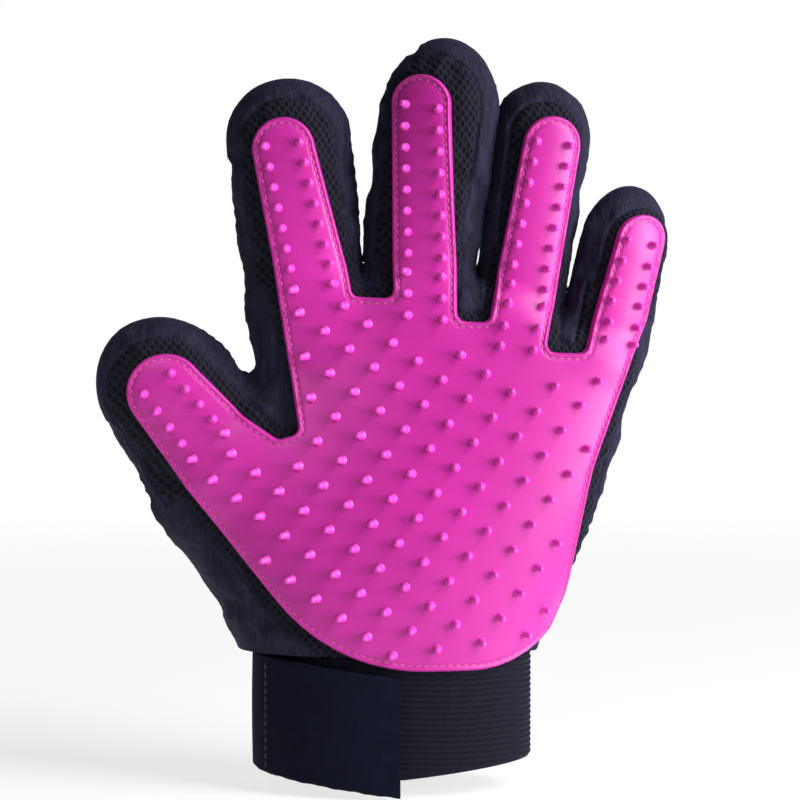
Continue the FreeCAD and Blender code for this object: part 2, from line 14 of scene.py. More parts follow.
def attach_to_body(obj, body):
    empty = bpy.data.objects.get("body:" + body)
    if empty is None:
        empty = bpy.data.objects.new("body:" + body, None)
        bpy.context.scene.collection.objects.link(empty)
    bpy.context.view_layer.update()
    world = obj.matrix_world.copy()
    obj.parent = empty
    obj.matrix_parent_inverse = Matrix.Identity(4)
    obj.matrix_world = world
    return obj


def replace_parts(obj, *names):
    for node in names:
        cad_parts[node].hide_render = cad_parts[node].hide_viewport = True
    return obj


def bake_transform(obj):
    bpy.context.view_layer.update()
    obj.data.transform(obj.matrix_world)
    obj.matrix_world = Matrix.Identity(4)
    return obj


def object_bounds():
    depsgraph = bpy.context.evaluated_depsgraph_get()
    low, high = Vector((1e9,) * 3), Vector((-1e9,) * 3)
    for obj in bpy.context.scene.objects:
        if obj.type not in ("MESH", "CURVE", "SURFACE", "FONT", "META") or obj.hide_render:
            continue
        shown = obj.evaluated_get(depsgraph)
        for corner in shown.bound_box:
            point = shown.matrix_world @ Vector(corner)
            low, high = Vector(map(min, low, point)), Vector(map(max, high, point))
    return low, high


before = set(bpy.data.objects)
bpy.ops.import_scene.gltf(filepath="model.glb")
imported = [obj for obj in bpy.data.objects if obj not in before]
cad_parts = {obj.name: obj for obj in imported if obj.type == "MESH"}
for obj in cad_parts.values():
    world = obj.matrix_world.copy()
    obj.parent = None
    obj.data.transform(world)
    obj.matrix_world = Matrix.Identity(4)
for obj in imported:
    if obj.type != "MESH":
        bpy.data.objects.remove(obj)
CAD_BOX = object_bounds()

MM = 0.001

# ---- driving dimensions, as in the CAD part ----
# A digit's row: base joint x, y, z; lean, pitch and roll in degrees; half width at the joint and at its
# fullest, half thickness; length over the joint and of its domed end; rows of nubs on the base segment; the
# pad strip's half widths and sideways shifts at its foot and tip, and the bare fabric beyond it; half the
# distance between the rows of nubs; how far the tube runs down into the palm.
Digit = namedtuple(
    "Digit",
    "x y z lean pitch roll base_a full_a half_t length dome base_rows pad_base pad_tip"
    " shift_base shift_tip tip_margin nub_a root",
)
DIGITS = {
    "thumb": Digit(
        -55.5, 1, 105, -37.5, 3, -6, 27.4, 22.8, 12.5, 53, 27, 4, 14.6, 12.3, 2.8, 1.6, 11.5, 6.4, 16
    ),
    "index": Digit(
        -28.6, 0, 164.8, -6.7, 3, 0, 19.0, 18.8, 11.8, 63.0, 19, 5, 11.2, 9.8, 2.6, -1.4, 11.5, 5.9, 22
    ),
    "middle": Digit(
        8.4, -1, 169, 7.6, 3, -10, 17.3, 18.4, 12.0, 72, 30, 6, 10.0, 9.6, 4.0, -3.6, 12, 5.3, 22
    ),
    "ring": Digit(
        41.8, 0.5, 165.4, 7.2, 3, 8, 14.0, 14.4, 11.6, 61.6, 17, 5, 9.5, 9.0, -0.4, 1.6, 10, 4.9, 22
    ),
    "little": Digit(
        70.0, 3.5, 154.2, 12.4, 3, 24, 15.0, 14.4, 10.8, 40, 22, 3, 8.7, 8.3, -1.4, -0.7, 7.5, 4.3, 20
    ),
}
NAMES = list(DIGITS)
FINGERS = NAMES[1:]
PALM_SECTIONS = np.array([
    (30.0, 0.0, 45.2, 24.0),
    (44.3, 0.0, 45.2, 24.0),
    (62.0, 2.2, 52.5, 25.0),
    (86.0, 8.0, 57.0, 24.5),
    (112.0, 13.0, 59.5, 21.0),
    (140.0, 17.6, 62.6, 16.4),
    (164.0, 19.5, 64.0, 13.0),
])  # height, centre x, half width, half depth
KNUCKLE_PLANE = ((27.0, 162.0), (86.0, 134.0))
THUMB_ROOT = (-16.0, 50.0)
THUMB_ROOT_HALF = (27.2, 19.0)
THUMB_BALL_T = 14.5
PAD_WAIST = (63.2, 103.0, 60.0)
PAD_RIGHT_CORNER = (48.9, 39.6, 29.7)
PAD_LEFT_CORNER = (-18.5, 39.8, 60.0)
SLOT_FLOOR = {"index": 158.0, "middle": 150.4, "ring": 140.5}
SLOT_RADIUS = 2.5
THUMB_CROTCH = ((-36.5, 112.6), (-29.8, 114.6))
NUB_ROW_PITCH = 6.6
NUB_GRID_PITCH = 9.8
NUB_GRID_ANGLE = -37.0
NUB_GRID_POINT = (17.6, 117.8)
NUB_EDGE_MARGIN = 4.6
NUB_CLEAR = 7.0
NUB_TIP_MARGIN = 6.0
NUB_HEIGHT = 3.2
FRONT_PANEL_SHARE = 0.80
BACK_PANEL_SHARE = 0.84
PANEL_TIP_INSET = 5.0
MESH_MARGIN = 4.0
SLOT_MESH = 3.0
BACK_FOOT = [(36.0, 30.0, 0), (-36.0, 30.0, 0), (-38.0, 52.0, 12)]
BACK_NOTCH = (-34.0, 124.0, 8)
BACK_RIGHT_CORNER = (44.0, 56.0, 30)
BACK_REACH = 12
CUFF_X, CUFF_A, CUFF_B = 1.0, 43.6, 23.6
CUFF_TOP = 44.0
ELASTIC_THICK = 1.6
ELASTIC_BOTTOM, ELASTIC_RISE = 5.0, 0.11
STRAP = (1.75, 3.15)
STRAP_WIDTH = 38.0
STRAP_SLOPE = -0.133
STRAP_X = (-38.8, -18.0, 2.4)

# ---- the looks' own dimensions ----
CELL = 1.4  # spacing of the skin's mesh
SKIN_BLEND = (8.0, 4.0)  # fillet between the palm and a finger, and the thumb
BALL_BLEND = 15.0
WEB_ROUND = 8.0
FABRIC = 1.5  # thickness of the fabric
PAD_LIFT = 0.12
PAD_THICK = 1.9
PAD_RIM = 1.2  # width of the rim's round
BEAD = 0.35  # the rim stands this much over the pad's face
NUB_TIP_R = 1.05
THUMB_NUB_RISE = 3.0
NUB_LEAN = 0.5  # the palm's nubs lean outwards by up to this slope on the thumb's side
BEAD_LINE, BEAD_WIDTH = 1.05, 0.65
GROOVE, GROOVE_WIDTH = 0.3, 0.5  # the stitch line's depth under the pad's face
STITCH_LINE = 2.0  # from the pad's edge
SEAM_DEPTH, SEAM_WIDTH = 0.55, 0.55  # furrow along the panels' seams
WELT, WELT_LINE, WELT_WIDTH = 0.22, 1.5, 0.8  # fabric raised on both sides of the furrow
SEAM_LEVELS = (0.0, -1.3, -0.5, 0.5, 1.3)  # rings of points along the seams
PAD_LEVELS = (0.0, 0.15, 0.4, 0.8, 1.2, 1.6, STITCH_LINE, 2.4, 2.9, 3.6)  # rings of points in its edge
HEM = CUFF_TOP + 0.2  # lower edge of the fabric; the pad hangs on over the cuff
STITCH_PITCH = 2.55
STITCH_LENGTH = 1.7
STITCH_R = 0.3
WIDER = {"index": 0.7, "middle": 1.7, "ring": 1.3, "little": 0.8}  # these fingers press against each other
TOUCH_GAP = 0.15  # half the gap between fingers that touch
CUSHION_CELL = 4.5
CUSHION_FRAMES = 20
CUSHION_SLACK = 0.05  # the cloth is this share larger than the skin, so that it wrinkles
CUSHION_LIMITS = (-1.2, 1.4)  # the fabric may sink or rise this far
OUTLINE_REACH = 8.0  # the palm's outlines run this far up over the digits' strips
NET_GROUPS = (
    (NAMES, True, (-101.0, -34.0, 30.0), (92.0, 34.0, 190.0)),
    (["thumb", "index", "ring"], False, (-101.0, -34.0, 80.0), (75.0, 34.0, 246.0)),
    (["middle", "little"], False, (-20.0, -34.0, 130.0), (92.0, 34.0, 246.0)),
)  # digits, whether the palm's faces are taken, corners of the space
CORD_PITCH, CORD_STEPS = 1.8, 6  # the elastic's cords and the rows of points over each
TAPE_HEIGHTS, TAPE_OFFSETS = (40.2, 47.6), (-2.4, -3.1)
FLOOR_R = 1.2
CAMERA_TARGET = (0.00224, 0.0, 0.1248)
CAMERA_LENS = 110
CAMERA_VIEW = 0.2595  # width of the view at the glove
CAMERA_ELEVATION = 2.0
STRAP_SEED, NUB_SEED = 3, 7
STRAP_STITCH_X = -40.6
STRAP_STITCHES = 13
STRAP_STITCH_R = 0.32
BASE_BLEND = (-2.0, 12.0)  # along a digit from its base joint: where the span round the joint starts and ends; the pieces are cut at its start
TIP_BLEND = (-7.0, 7.0)
THUMB_BASE_BLEND = (0.0, 8.0)  # from the cut through the thumb's notch
THUMB_TIP_BLEND = (-1.5, 12.0)
THUMB_NOTCH = (-47.6, 0.0, 133.0)
THUMB_CUT_TILT = 0.32  # the thumb's cut climbs towards the index finger by this slope


# ---- vectors and blends ----
def unit(v):
    v = np.asarray(v, float)
    return v / np.maximum(np.linalg.norm(v, axis=-1, keepdims=True), 1e-12)


def smooth_min(a, b, k):
    h = np.clip(0.5 + 0.5 * (b - a) / k, 0, 1)
    return b + (a - b) * h - k * h * (1 - h)


def smooth_max(a, b, k):
    return -smooth_min(-a, -b, k)


class Frame:
    """A digit's own frame: lateral, dorsal and along axes through its base joint."""

    def __init__(self, d):
        lean, pitch, roll = (math.radians(v) for v in (d.lean, d.pitch, d.roll))
        self.along = np.array(
            (math.sin(lean) * math.cos(pitch), -math.sin(pitch), math.cos(lean) * math.cos(pitch))
        )
        self.side = np.array((math.cos(lean), 0.0, -math.sin(lean)))
        palmar = np.cross(self.side, self.along)
        lateral = self.side * math.cos(roll) - palmar * math.sin(roll)
        dorsal = -(palmar * math.cos(roll) + self.side * math.sin(roll))
        self.axes = np.array((lateral, dorsal, self.along))
        self.origin = np.array((d.x, d.y, d.z), float)

    def local(self, points):
        return (points - self.origin) @ self.axes.T

    def world(self, points):
        return np.asarray(points, float) @ self.axes + self.origin


FRAMES = {name: Frame(d) for name, d in DIGITS.items()}


# ---- the skin as a distance field ----
def digit_field(name, points):
    """Signed distance to a digit's tube: a flank that swells a little, then half an ellipse."""
    d = DIGITS[name]
    x, y, z = FRAMES[name].local(points).T
    full = d.full_a + WIDER.get(name, 0.0)
    squeeze = full / d.half_t
    r = np.hypot(x, squeeze * y) + 1e-6
    slope = np.sqrt(x**2 + squeeze**4 * y**2) / r
    top = d.length - d.dome
    up = np.clip((top - z) / top, 0, 1)
    flank = (r - (full + (d.base_a - d.full_a) * up**2)) / np.maximum(slope, 0.6)
    q = np.sqrt((r / full) ** 2 + ((z - top) / d.dome) ** 2) + 1e-6
    steep = np.hypot(r / full**2 * slope, (z - top) / d.dome**2) / q
    dome = (q - 1) / np.maximum(steep, 1e-4)
    return smooth_max(np.where(z < top, flank, dome), -d.root - z, 8.0)


def palm_sections(z):
    """Centre, half width and half depth of the palm's oval at each height, as smooth curves."""
    heights = PALM_SECTIONS[:, 0]
    t = (np.clip(z, 30, 168) - 97) / 70
    base = (heights - 97) / 70
    return [np.polyval(np.polyfit(base, PALM_SECTIONS[:, k], 4), t) for k in (1, 2, 3)]


def oval_distance(x, y, a, b):
    s = np.sqrt((x / a) ** 2 + (y / b) ** 2) + 1e-6
    return (s - 1) * s / np.sqrt((x / a**2) ** 2 + (y / b**2) ** 2 + 1e-12)


def ball_field(points):
    """The ball of the thumb: a tapered oval tube from the wrist to the thumb's base joint."""
    d = DIGITS["thumb"]
    x, y, z = FRAMES["thumb"].local(points).T
    foot = FRAMES["thumb"].local(np.array([(THUMB_ROOT[0], d.y, THUMB_ROOT[1])]))[0]
    t = np.clip(z / foot[2], -0.2, 1.0)
    a = d.base_a + (THUMB_ROOT_HALF[0] - d.base_a) * t + 8 * t * (1 - t)
    b = THUMB_BALL_T - 1.5 + (THUMB_ROOT_HALF[1] - THUMB_BALL_T + 1.5) * t + 4 * t * (1 - t)
    tube = oval_distance(x - foot[0] * t, y, a, b)
    return smooth_max(smooth_max(tube, foot[2] - z, 8.0), z - 6.0, 6.0)


def palm_field(points):
    """Signed distance to the palm with the ball of the thumb, closed above by the webs."""
    x, y, z = points.T
    centre, a, b = palm_sections(z)
    loft = oval_distance(x - centre, y, a, b)
    (x0, z0), (x1, z1) = KNUCKLE_PLANE
    drop = (z0 - z1) / (x1 - x0)
    web = (z - z0 + drop * np.maximum(x - x0, 0)) / math.sqrt(1 + drop**2)
    loft = smooth_max(loft, web, WEB_ROUND)
    return smooth_min(loft, ball_field(points), BALL_BLEND)


def skin_field(points, names=NAMES):
    """The palm with some of the digits. A finger left out still stops its neighbours where they touch."""
    palm = palm_field(points)
    fields = {name: digit_field(name, points) for name in NAMES}
    joined = []
    for name in names:
        own = fields[name]
        for other in FINGERS:
            if other not in names and name in FINGERS:
                own = smooth_max(own, (own - fields[other]) / 2 + TOUCH_GAP, 1.0)
        joined.append(smooth_min(palm, own, SKIN_BLEND[name == "thumb"]))
    return np.min(joined, axis=0)


def gradient(field, points, step=0.05):
    out = np.empty_like(points)
    for axis in range(3):
        shift = np.zeros(3)
        shift[axis] = step
        out[:, axis] = (field(points + shift) - field(points - shift)) / (2 * step)
    return out


def project(points, times=3, field=skin_field):
    """Moves points onto the field's zero surface."""
    for _ in range(times):
        slope = gradient(field, points)
        size = np.maximum((slope**2).sum(1), 0.2)
        points = points - slope * (np.clip(field(points), -2, 2) / size)[:, None]
    return points


# ---- outlines of the panels and the pad ----
def strip_at(d, z):
    part = z / (d.length - d.tip_margin - d.pad_tip)
    return d.shift_base + (d.shift_tip - d.shift_base) * part, d.pad_base + (d.pad_tip - d.pad_base) * part


def strip_distance(name, points, base_half, tip_half, end, shift_base=0.0, shift_tip=0.0):
    """Distance inside a tapered round-ended strip on a digit's palm side, from its joint up. The strip is
    judged as seen from the front, at the digit's own depth."""
    d = DIGITS[name]
    x, y, z = FRAMES[name].local(points).T
    depth = -(d.half_t + 2.1) * np.sqrt(1 - np.clip(x / (d.full_a + 2.1), -0.95, 0.95) ** 2)
    view = FRAMES[name].axes[:, 1]
    move = np.where(y < 0, (depth - y) / view[1], 0.0)
    x, z = x + move * view[0], z + move * view[2]
    centre = end - tip_half
    part = np.minimum(z, centre) / centre
    middle = shift_base + (shift_tip - shift_base) * part
    half = base_half + (tip_half - base_half) * part
    flank = np.where(z < centre, half - np.abs(x - middle), tip_half - np.hypot(x - middle, z - centre))
    return np.minimum(np.minimum(flank, -y), z)


def pad_strip(name, points, grow=0.0):
    d = DIGITS[name]
    end = d.length - d.tip_margin + grow
    return strip_distance(
        name, points, d.pad_base + grow, d.pad_tip + grow, end, d.shift_base, d.shift_tip
    )


def panel_strip(name, points, share, front):
    """Distance inside a digit's front or back panel."""
    d = DIGITS[name]
    turned = points if front else FRAMES[name].world(FRAMES[name].local(points) * (1, -1, 1))
    return strip_distance(name, turned, d.base_a * share, d.full_a * share, d.length - PANEL_TIP_INSET)


def arc_corners(corners, steps=10):
    """A polygon through (x, z, radius) corners, each corner rounded."""
    out = []
    for i, (x, z, radius) in enumerate(corners):
        here = np.array((x, z))
        u = unit(np.array(corners[i - 1][:2]) - here)
        w = unit(np.array(corners[(i + 1) % len(corners)][:2]) - here)
        if radius <= 0:
            out.append(here)
            continue
        half = math.acos(np.clip(u @ w, -1, 1)) / 2
        middle = here + unit(u + w) * radius / math.sin(half)
        start = here + u * radius / math.tan(half) - middle
        stop = here + w * radius / math.tan(half) - middle
        for t in np.linspace(0, 1, steps):
            out.append(middle + unit(start * (1 - t) + stop * t) * radius)
    return np.array(out)


def polygon_distance(polygon, x, z):
    """Distance inside a polygon in the XZ plane: positive inside."""
    point = np.stack((x, z), 1)
    best = np.full(len(x), 1e9)
    inside = np.zeros(len(x), bool)
    for a, b in zip(polygon, np.roll(polygon, -1, axis=0)):
        edge = b - a
        t = np.clip((point - a) @ edge / max(edge @ edge, 1e-9), 0, 1)
        best = np.minimum(best, ((point - a - t[:, None] * edge) ** 2).sum(1))
        crosses = (a[1] > z) != (b[1] > z)
        if b[1] != a[1]:
            inside ^= crosses & (x < (b[0] - a[0]) * (z - a[1]) / (b[1] - a[1]) + a[0])
    return np.where(inside, 1.0, -1.0) * np.sqrt(best)


def strip_point(name, z, side, extra=0.0):
    """x and z, in the glove's frame, of a pad strip's edge at height z over its joint."""
    d = DIGITS[name]
    centre, half = strip_at(d, z)
    limit = d.base_a * FRONT_PANEL_SHARE + 1.5
    x = min(max(centre + side * (half + extra), -limit), limit)
    a, b = d.full_a + 2.1, d.half_t + 2.1
    return FRAMES[name].world((x, -b * math.sqrt(1 - (x / a) ** 2), z))[[0, 2]]


def palm_polygon(extra=0.0, floor_extra=0.0):
    """The pad's outline over the palm. Its upper ends lie over the digits' strips."""
    radius = SLOT_RADIUS - extra / 4

    def edge(name, side, height=OUTLINE_REACH):
        return (*strip_point(name, height, side, extra), 0)

    x, z, r = PAD_WAIST
    corners = [edge("little", 1), edge("little", 1, 0.0), (x + extra, z, r)]
    x, z, r = PAD_RIGHT_CORNER
    corners.append((x + extra, z - extra, r + extra))
    x, z, r = PAD_LEFT_CORNER
    corners.append((x - extra / 2, z - extra, r + extra))
    corners += [edge("thumb", -1, 0.0), edge("thumb", -1), edge("thumb", 1)]
    corners += [(x, z + floor_extra, radius) for x, z in THUMB_CROTCH]
    for i, name in enumerate(FINGERS):
        if i:
            floor_z = SLOT_FLOOR[FINGERS[i - 1]] + floor_extra - 0.4
            corners.append((*slot_corner(name, -1, extra, floor_z), radius))
        corners.append(edge(name, -1))
        if i + 1 < len(FINGERS):
            floor_z = SLOT_FLOOR[name] + floor_extra
            corners += [edge(name, 1), (*slot_corner(name, 1, extra, floor_z), radius)]
    return arc_corners(corners)


def slot_corner(name, side, extra, height):
    """Where a strip's edge, carried on down, reaches a slot's floor."""
    top, below = strip_point(name, 0.0, side, extra), strip_point(name, -10.0, side, extra)
    t = (height - top[1]) / (below[1] - top[1])
    return top + (below - top) * t


PAD_POLYGON = palm_polygon()
FRONT_POLYGON = palm_polygon(MESH_MARGIN, SLOT_MESH)


def back_polygon():
    """The back panel over the palm, from the cuff up into the digits."""

    def side_of(name, z, side):
        return FRAMES[name].world((side * DIGITS[name].base_a * BACK_PANEL_SHARE, 0, z))[[0, 2]]

    corners = BACK_FOOT + [(*side_of("thumb", BACK_REACH, side), 0) for side in (-1, 1)] + [BACK_NOTCH]
    for name, height in (("index", 2), ("middle", 0), ("ring", 0)):
        corners += [(*side_of(name, height, side), 0) for side in (-1, 1)]
    for side, height in ((-1, 0), (1, 2), (1, -2)):
        corners.append((*side_of("little", height, side), 0))
    corners.append(BACK_RIGHT_CORNER)
    return arc_corners(corners)


BACK_POLYGON = back_polygon()


def pad_distance(points):
    palm = np.minimum(polygon_distance(PAD_POLYGON, points[:, 0], points[:, 2]), -points[:, 1] - 2.0)
    strips = np.max([pad_strip(name, points) for name in NAMES], axis=0)
    return np.maximum(palm, strips)


def front_distance(points):
    palm = np.minimum(polygon_distance(FRONT_POLYGON, points[:, 0], points[:, 2]), -points[:, 1] - 2.0)
    strips = np.max([panel_strip(n, points, FRONT_PANEL_SHARE, True) for n in NAMES], axis=0)
    return smooth_max(palm, strips, 1.0)


def back_distance(points):
    palm = np.minimum(polygon_distance(BACK_POLYGON, points[:, 0], points[:, 2]), points[:, 1] - 2.0)
    strips = np.max([panel_strip(n, points, BACK_PANEL_SHARE, False) for n in NAMES], axis=0)
    return smooth_max(palm, strips, 1.0)


def on_surface(field, points, normals, step=0.4):
    """A plane distance turned into distance along the surface, by its slope along two tangents."""
    first = unit(np.cross(normals, (0.0, 0.3, 1.0)))
    second = np.cross(normals, first)
    slope = [(field(points + t * step) - field(points - t * step)) / (2 * step) for t in (first, second)]
    return field(points) / np.clip(np.hypot(*slope), 0.45, 1.6)


# ---- pieces: which body a point belongs to ----
def knuckle(d):
    return d.base_rows * NUB_ROW_PITCH


def cut_direction(name):
    """Direction across which a digit's base is cut: along it, or tilted for the thumb's web."""
    tilt = THUMB_CUT_TILT if name == "thumb" else 0.0
    return unit(FRAMES[name].along - tilt * FRAMES[name].side)


def base_foot(name):
    """The point from which a digit's base cut is measured."""
    return np.array(THUMB_NOTCH) if name == "thumb" else FRAMES[name].origin


def base_blend(name):
    return THUMB_BASE_BLEND if name == "thumb" else BASE_BLEND


def tip_blend(name):
    return THUMB_TIP_BLEND if name == "thumb" else TIP_BLEND


def cut_height(name, points):
    """Signed height over a digit's base cut and over its middle cut."""
    f, d = FRAMES[name], DIGITS[name]
    base = (points - base_foot(name)) @ cut_direction(name) - base_blend(name)[0]
    tip = (points - f.origin) @ f.along - (knuckle(d) + tip_blend(name)[0] - 0.3)
    return base, tip


def piece_of(points):
    """-1 for the palm, else 2 x digit for a base segment and 2 x digit + 1 for a tip segment."""
    labels = np.full(len(points), -1)
    palm = palm_field(points)
    fields = np.array([digit_field(name, points) for name in NAMES])
    nearest = fields.argmin(0)
    for i, name in enumerate(NAMES):
        base, tip = cut_height(name, points)
        mine = (nearest == i) & (base > 0) & (fields[i] < palm + (20.0 if name == "thumb" else 6.0))
        labels[mine] = 2 * i
        labels[mine & (tip > 0)] = 2 * i + 1
    return labels


def piece_name(label):
    return "palm" if label < 0 else f"{NAMES[label // 2]}_{'tip' if label % 2 else 'base'}"


def attach(obj, label):
    """Rides on the palm, or else keeps its place with its transform baked in."""
    if label < 0:
        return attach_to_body(obj, "palm")
    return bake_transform(obj)


# ---- sheets: triangle meshes with values on their points ----
class Sheet:
    """Points, triangles and named values at the points."""

    def __init__(self, points, faces, values=None):
        self.points, self.faces, self.values = points, faces, values or {}

    def cut(self, name, level, snap=0.12):
        """Cuts the triangles along the line where a value equals a level."""
        values = self.values[name]
        height = values - level
        values[np.abs(height) < snap] = level
        height[np.abs(height) < snap] = 0.0
        sign = np.sign(height).astype(int)
        corner = sign[self.faces]
        crossing = (corner.min(1) < 0) & (corner.max(1) > 0)
        kept, cut = self.faces[~crossing], self.faces[crossing]
        if not len(cut):
            return self
        pairs = np.sort(np.concatenate([cut[:, [0, 1]], cut[:, [1, 2]], cut[:, [2, 0]]]), axis=1)
        pairs = np.unique(pairs[sign[pairs].prod(1) < 0], axis=0)
        t = (height[pairs[:, 0]] / (height[pairs[:, 0]] - height[pairs[:, 1]]))
        count = len(self.points)
        code = pairs[:, 0].astype(np.int64) * count + pairs[:, 1]
        self._grow(pairs, t)
        self.values[name][count:] = level

        def between(a, b):
            pair = np.minimum(a, b).astype(np.int64) * count + np.maximum(a, b)
            return count + np.searchsorted(code, pair)

        added = [kept]
        for turn in range(3):
            a, b, c = (cut[:, (turn + k) % 3] for k in range(3))
            sa, sb, sc = sign[a], sign[b], sign[c]
            touch = (sa == 0) & (sb * sc < 0)
            a1, b1, c1 = a[touch], b[touch], c[touch]
            m = between(b1, c1)
            added += [np.stack((a1, b1, m), 1), np.stack((a1, m, c1), 1)]
            lone = (sa * sb < 0) & (sa * sc < 0)
            a2, b2, c2 = a[lone], b[lone], c[lone]
            m, n = between(a2, b2), between(a2, c2)
            added += [np.stack((a2, m, n), 1), np.stack((m, b2, c2), 1), np.stack((m, c2, n), 1)]
        self.faces = np.concatenate(added)
        return self

    def _grow(self, pairs, t):
        a, b = pairs.T
        p = self.points
        self.points = np.concatenate((p, p[a] + (p[b] - p[a]) * t[:, None]))
        for key, v in self.values.items():
            self.values[key] = np.concatenate((v, v[a] + (v[b] - v[a]) * t))

    def part(self, keep):
        """The sheet of the kept triangles, without the points that they don't use."""
        faces = self.faces[keep]
        used, flat = np.unique(faces, return_inverse=True)
        values = {k: v[used] for k, v in self.values.items()}
        return Sheet(self.points[used], flat.reshape(-1, 3), values)

    def middle(self, name):
        return self.values[name][self.faces].mean(1)


def surface_net(field, low, high, cell):
    """A quad mesh of a field's zero surface on a regular grid, as triangles."""
    counts = np.ceil((high - low) / cell).astype(int) + 1
    axes = [low[k] + cell * np.arange(counts[k]) for k in range(3)]
    value = np.empty(counts)
    for i, x in enumerate(axes[0]):
        plane = np.stack(np.meshgrid([x], axes[1], axes[2], indexing="ij"), -1).reshape(-1, 3)
        value[i] = field(plane).reshape(counts[1:])
    inside = value < 0
    shape = counts - 1
    total, hits = np.zeros((*shape, 3)), np.zeros(shape)
    corners = [np.array(c) for c in np.ndindex(2, 2, 2)]
    for axis in range(3):
        for corner in corners:
            if corner[axis]:
                continue
            other = corner.copy()
            other[axis] = 1
            a, b = (value[tuple(slice(c[k], c[k] + shape[k]) for k in range(3))] for c in (corner, other))
            mixed = (a < 0) != (b < 0)
            t = np.where(mixed, a / np.where(mixed, a - b, 1), 0)
            for k in range(3):
                total[..., k] += np.where(mixed, corner[k] + (t if k == axis else 0), 0)
            hits += mixed
    active = hits > 0
    number = np.full(shape, -1)
    number[active] = np.arange(active.sum())
    cells = np.argwhere(active)
    points = low + cell * (cells + total[active] / hits[active][:, None])
    quads = []
    for axis in range(3):
        u, v = (axis + 1) % 3, (axis + 2) % 3
        first = np.take(inside, range(counts[axis] - 1), axis)
        second = np.take(inside, range(1, counts[axis]), axis)
        for out, flip in ((first & ~second, False), (second & ~first, True)):
            where = np.argwhere(out)
            spot = where[:, [u, v]]
            where = where[((spot > 0) & (spot < (shape[u], shape[v]))).all(1)]
            ring = []
            for du, dv in ((0, 0), (-1, 0), (-1, -1), (0, -1)):
                shift = np.zeros(3, int)
                shift[[u, v]] = du, dv
                ring.append(number[tuple((where + shift).T)])
            quad = np.stack(ring, 1)
            quads.append(quad[:, ::-1] if flip else quad)
    return points, np.concatenate(quads)


def relax(points, quads, times, field):
    """Evens out a quad mesh along its surface."""
    pairs = np.concatenate([quads[:, [k, (k + 1) % 4]] for k in range(4)])
    for _ in range(times):
        total, count = np.zeros_like(points), np.zeros(len(points))
        for k in range(3):
            np.add.at(total[:, k], pairs[:, 0], points[pairs[:, 1], k])
            np.add.at(total[:, k], pairs[:, 1], points[pairs[:, 0], k])
        np.add.at(count, pairs.ravel(), 1)
        points = project(points * 0.4 + 0.6 * total / np.maximum(count, 1)[:, None], 1, field)
    return points


def boundary_edges(faces):
    """Directed edges used by one triangle only."""
    edges = np.concatenate([faces[:, [0, 1]], faces[:, [1, 2]], faces[:, [2, 0]]])
    ordered = np.sort(edges, axis=1)
    unused, index, count = np.unique(ordered, axis=0, return_inverse=True, return_counts=True)
    return edges[count[index.ravel()] == 1]


def thicken(sheet, outer, inner, shade):
    """A closed solid between two offsets of a sheet: points, triangles and a normal per triangle corner."""
    count = len(sheet.points)
    normals, faces = sheet.values["out"], sheet.faces
    points = np.concatenate([sheet.points + normals * offset[:, None] for offset in (outer, inner)])
    edge = boundary_edges(faces)
    walls = np.concatenate((
        np.stack((edge[:, 1], edge[:, 0], edge[:, 0] + count), 1),
        np.stack((edge[:, 1], edge[:, 0] + count, edge[:, 1] + count), 1),
    ))
    a, b, c = (points[walls[:, k]] for k in range(3))
    flat = np.repeat(unit(np.cross(b - a, c - a))[:, None], 3, axis=1)
    corners = np.concatenate((shade[faces], -normals[faces[:, ::-1]], flat))
    return points, np.concatenate((faces, faces[:, ::-1] + count, walls)), corners


# ---- Blender objects ----
def make_object(name, points, faces, material, corners=None, sharp=50.0):
    """A smooth-shaded mesh object from millimetre points, with normals for the face corners or else edges
    made sharp above an angle."""
    mesh = bpy.data.meshes.new(name)
    mesh.from_pydata((np.asarray(points) * MM).tolist(), [], [tuple(map(int, face)) for face in faces])
    mesh.shade_smooth()
    attribute = mesh.attributes.new("rest", "FLOAT_VECTOR", "POINT")
    attribute.data.foreach_set("vector", np.asarray(points, np.float32).ravel())
    obj = bpy.data.objects.new(name, mesh)
    bpy.context.scene.collection.objects.link(obj)
    mesh.materials.append(material)
    if corners is None:
        mesh.set_sharp_from_angle(angle=math.radians(sharp))
    else:
        mesh.normals_split_custom_set(corners.reshape(-1, 3).tolist())
    return obj


def point_normals(points, faces):
    """Area-weighted normals at the points."""
    a, b, c = (points[faces[:, k]] for k in range(3))
    face = np.cross(b - a, c - a)
    total = np.zeros_like(points)
    for k in range(3):
        for axis in range(3):
            np.add.at(total[:, axis], faces[:, k], face[:, axis])
    return unit(total)


class Bag:
    """Collects many small solids into one mesh."""

    def __init__(self):
        self.points, self.faces, self.count = [], [], 0

    def add(self, points, faces):
        self.points.append(np.asarray(points, float))
        self.faces.append([tuple(int(i) + self.count for i in face) for face in faces])
        self.count += len(points)

    def build(self, name, material):
        faces = [face for group in self.faces for face in group]
        return make_object(name, np.concatenate(self.points), faces, material) if self.count else None


def tube_faces(rings, sides):
    """Quads between rings of points, with a face over each end."""
    faces = []
    for ring in range(rings - 1):
        for k in range(sides):
            a, b = ring * sides + k, ring * sides + (k + 1) % sides
            faces.append((a, b, b + sides, a + sides))
    faces.append(tuple(range(sides))[::-1])
    faces.append(tuple((rings - 1) * sides + k for k in range(sides)))
    return faces


def lathe(profile, sides):
    """A round solid from (radius, height) rings, closed at both ends, about +Z."""
    angle = 2 * math.pi * np.arange(sides) / sides
    points = [(r * math.cos(a), r * math.sin(a), h) for r, h in profile for a in angle]
    return np.array(points), tube_faces(len(profile), sides)


def stood(points, place, outward):
    """Points about +Z turned to stand along outward at a place."""
    z = unit(outward)
    x = unit(np.cross((0.0, 0.0, 1.0) if abs(z[2]) < 0.9 else (1.0, 0.0, 0.0), z))
    return points @ np.array((x, np.cross(z, x), z)) + place


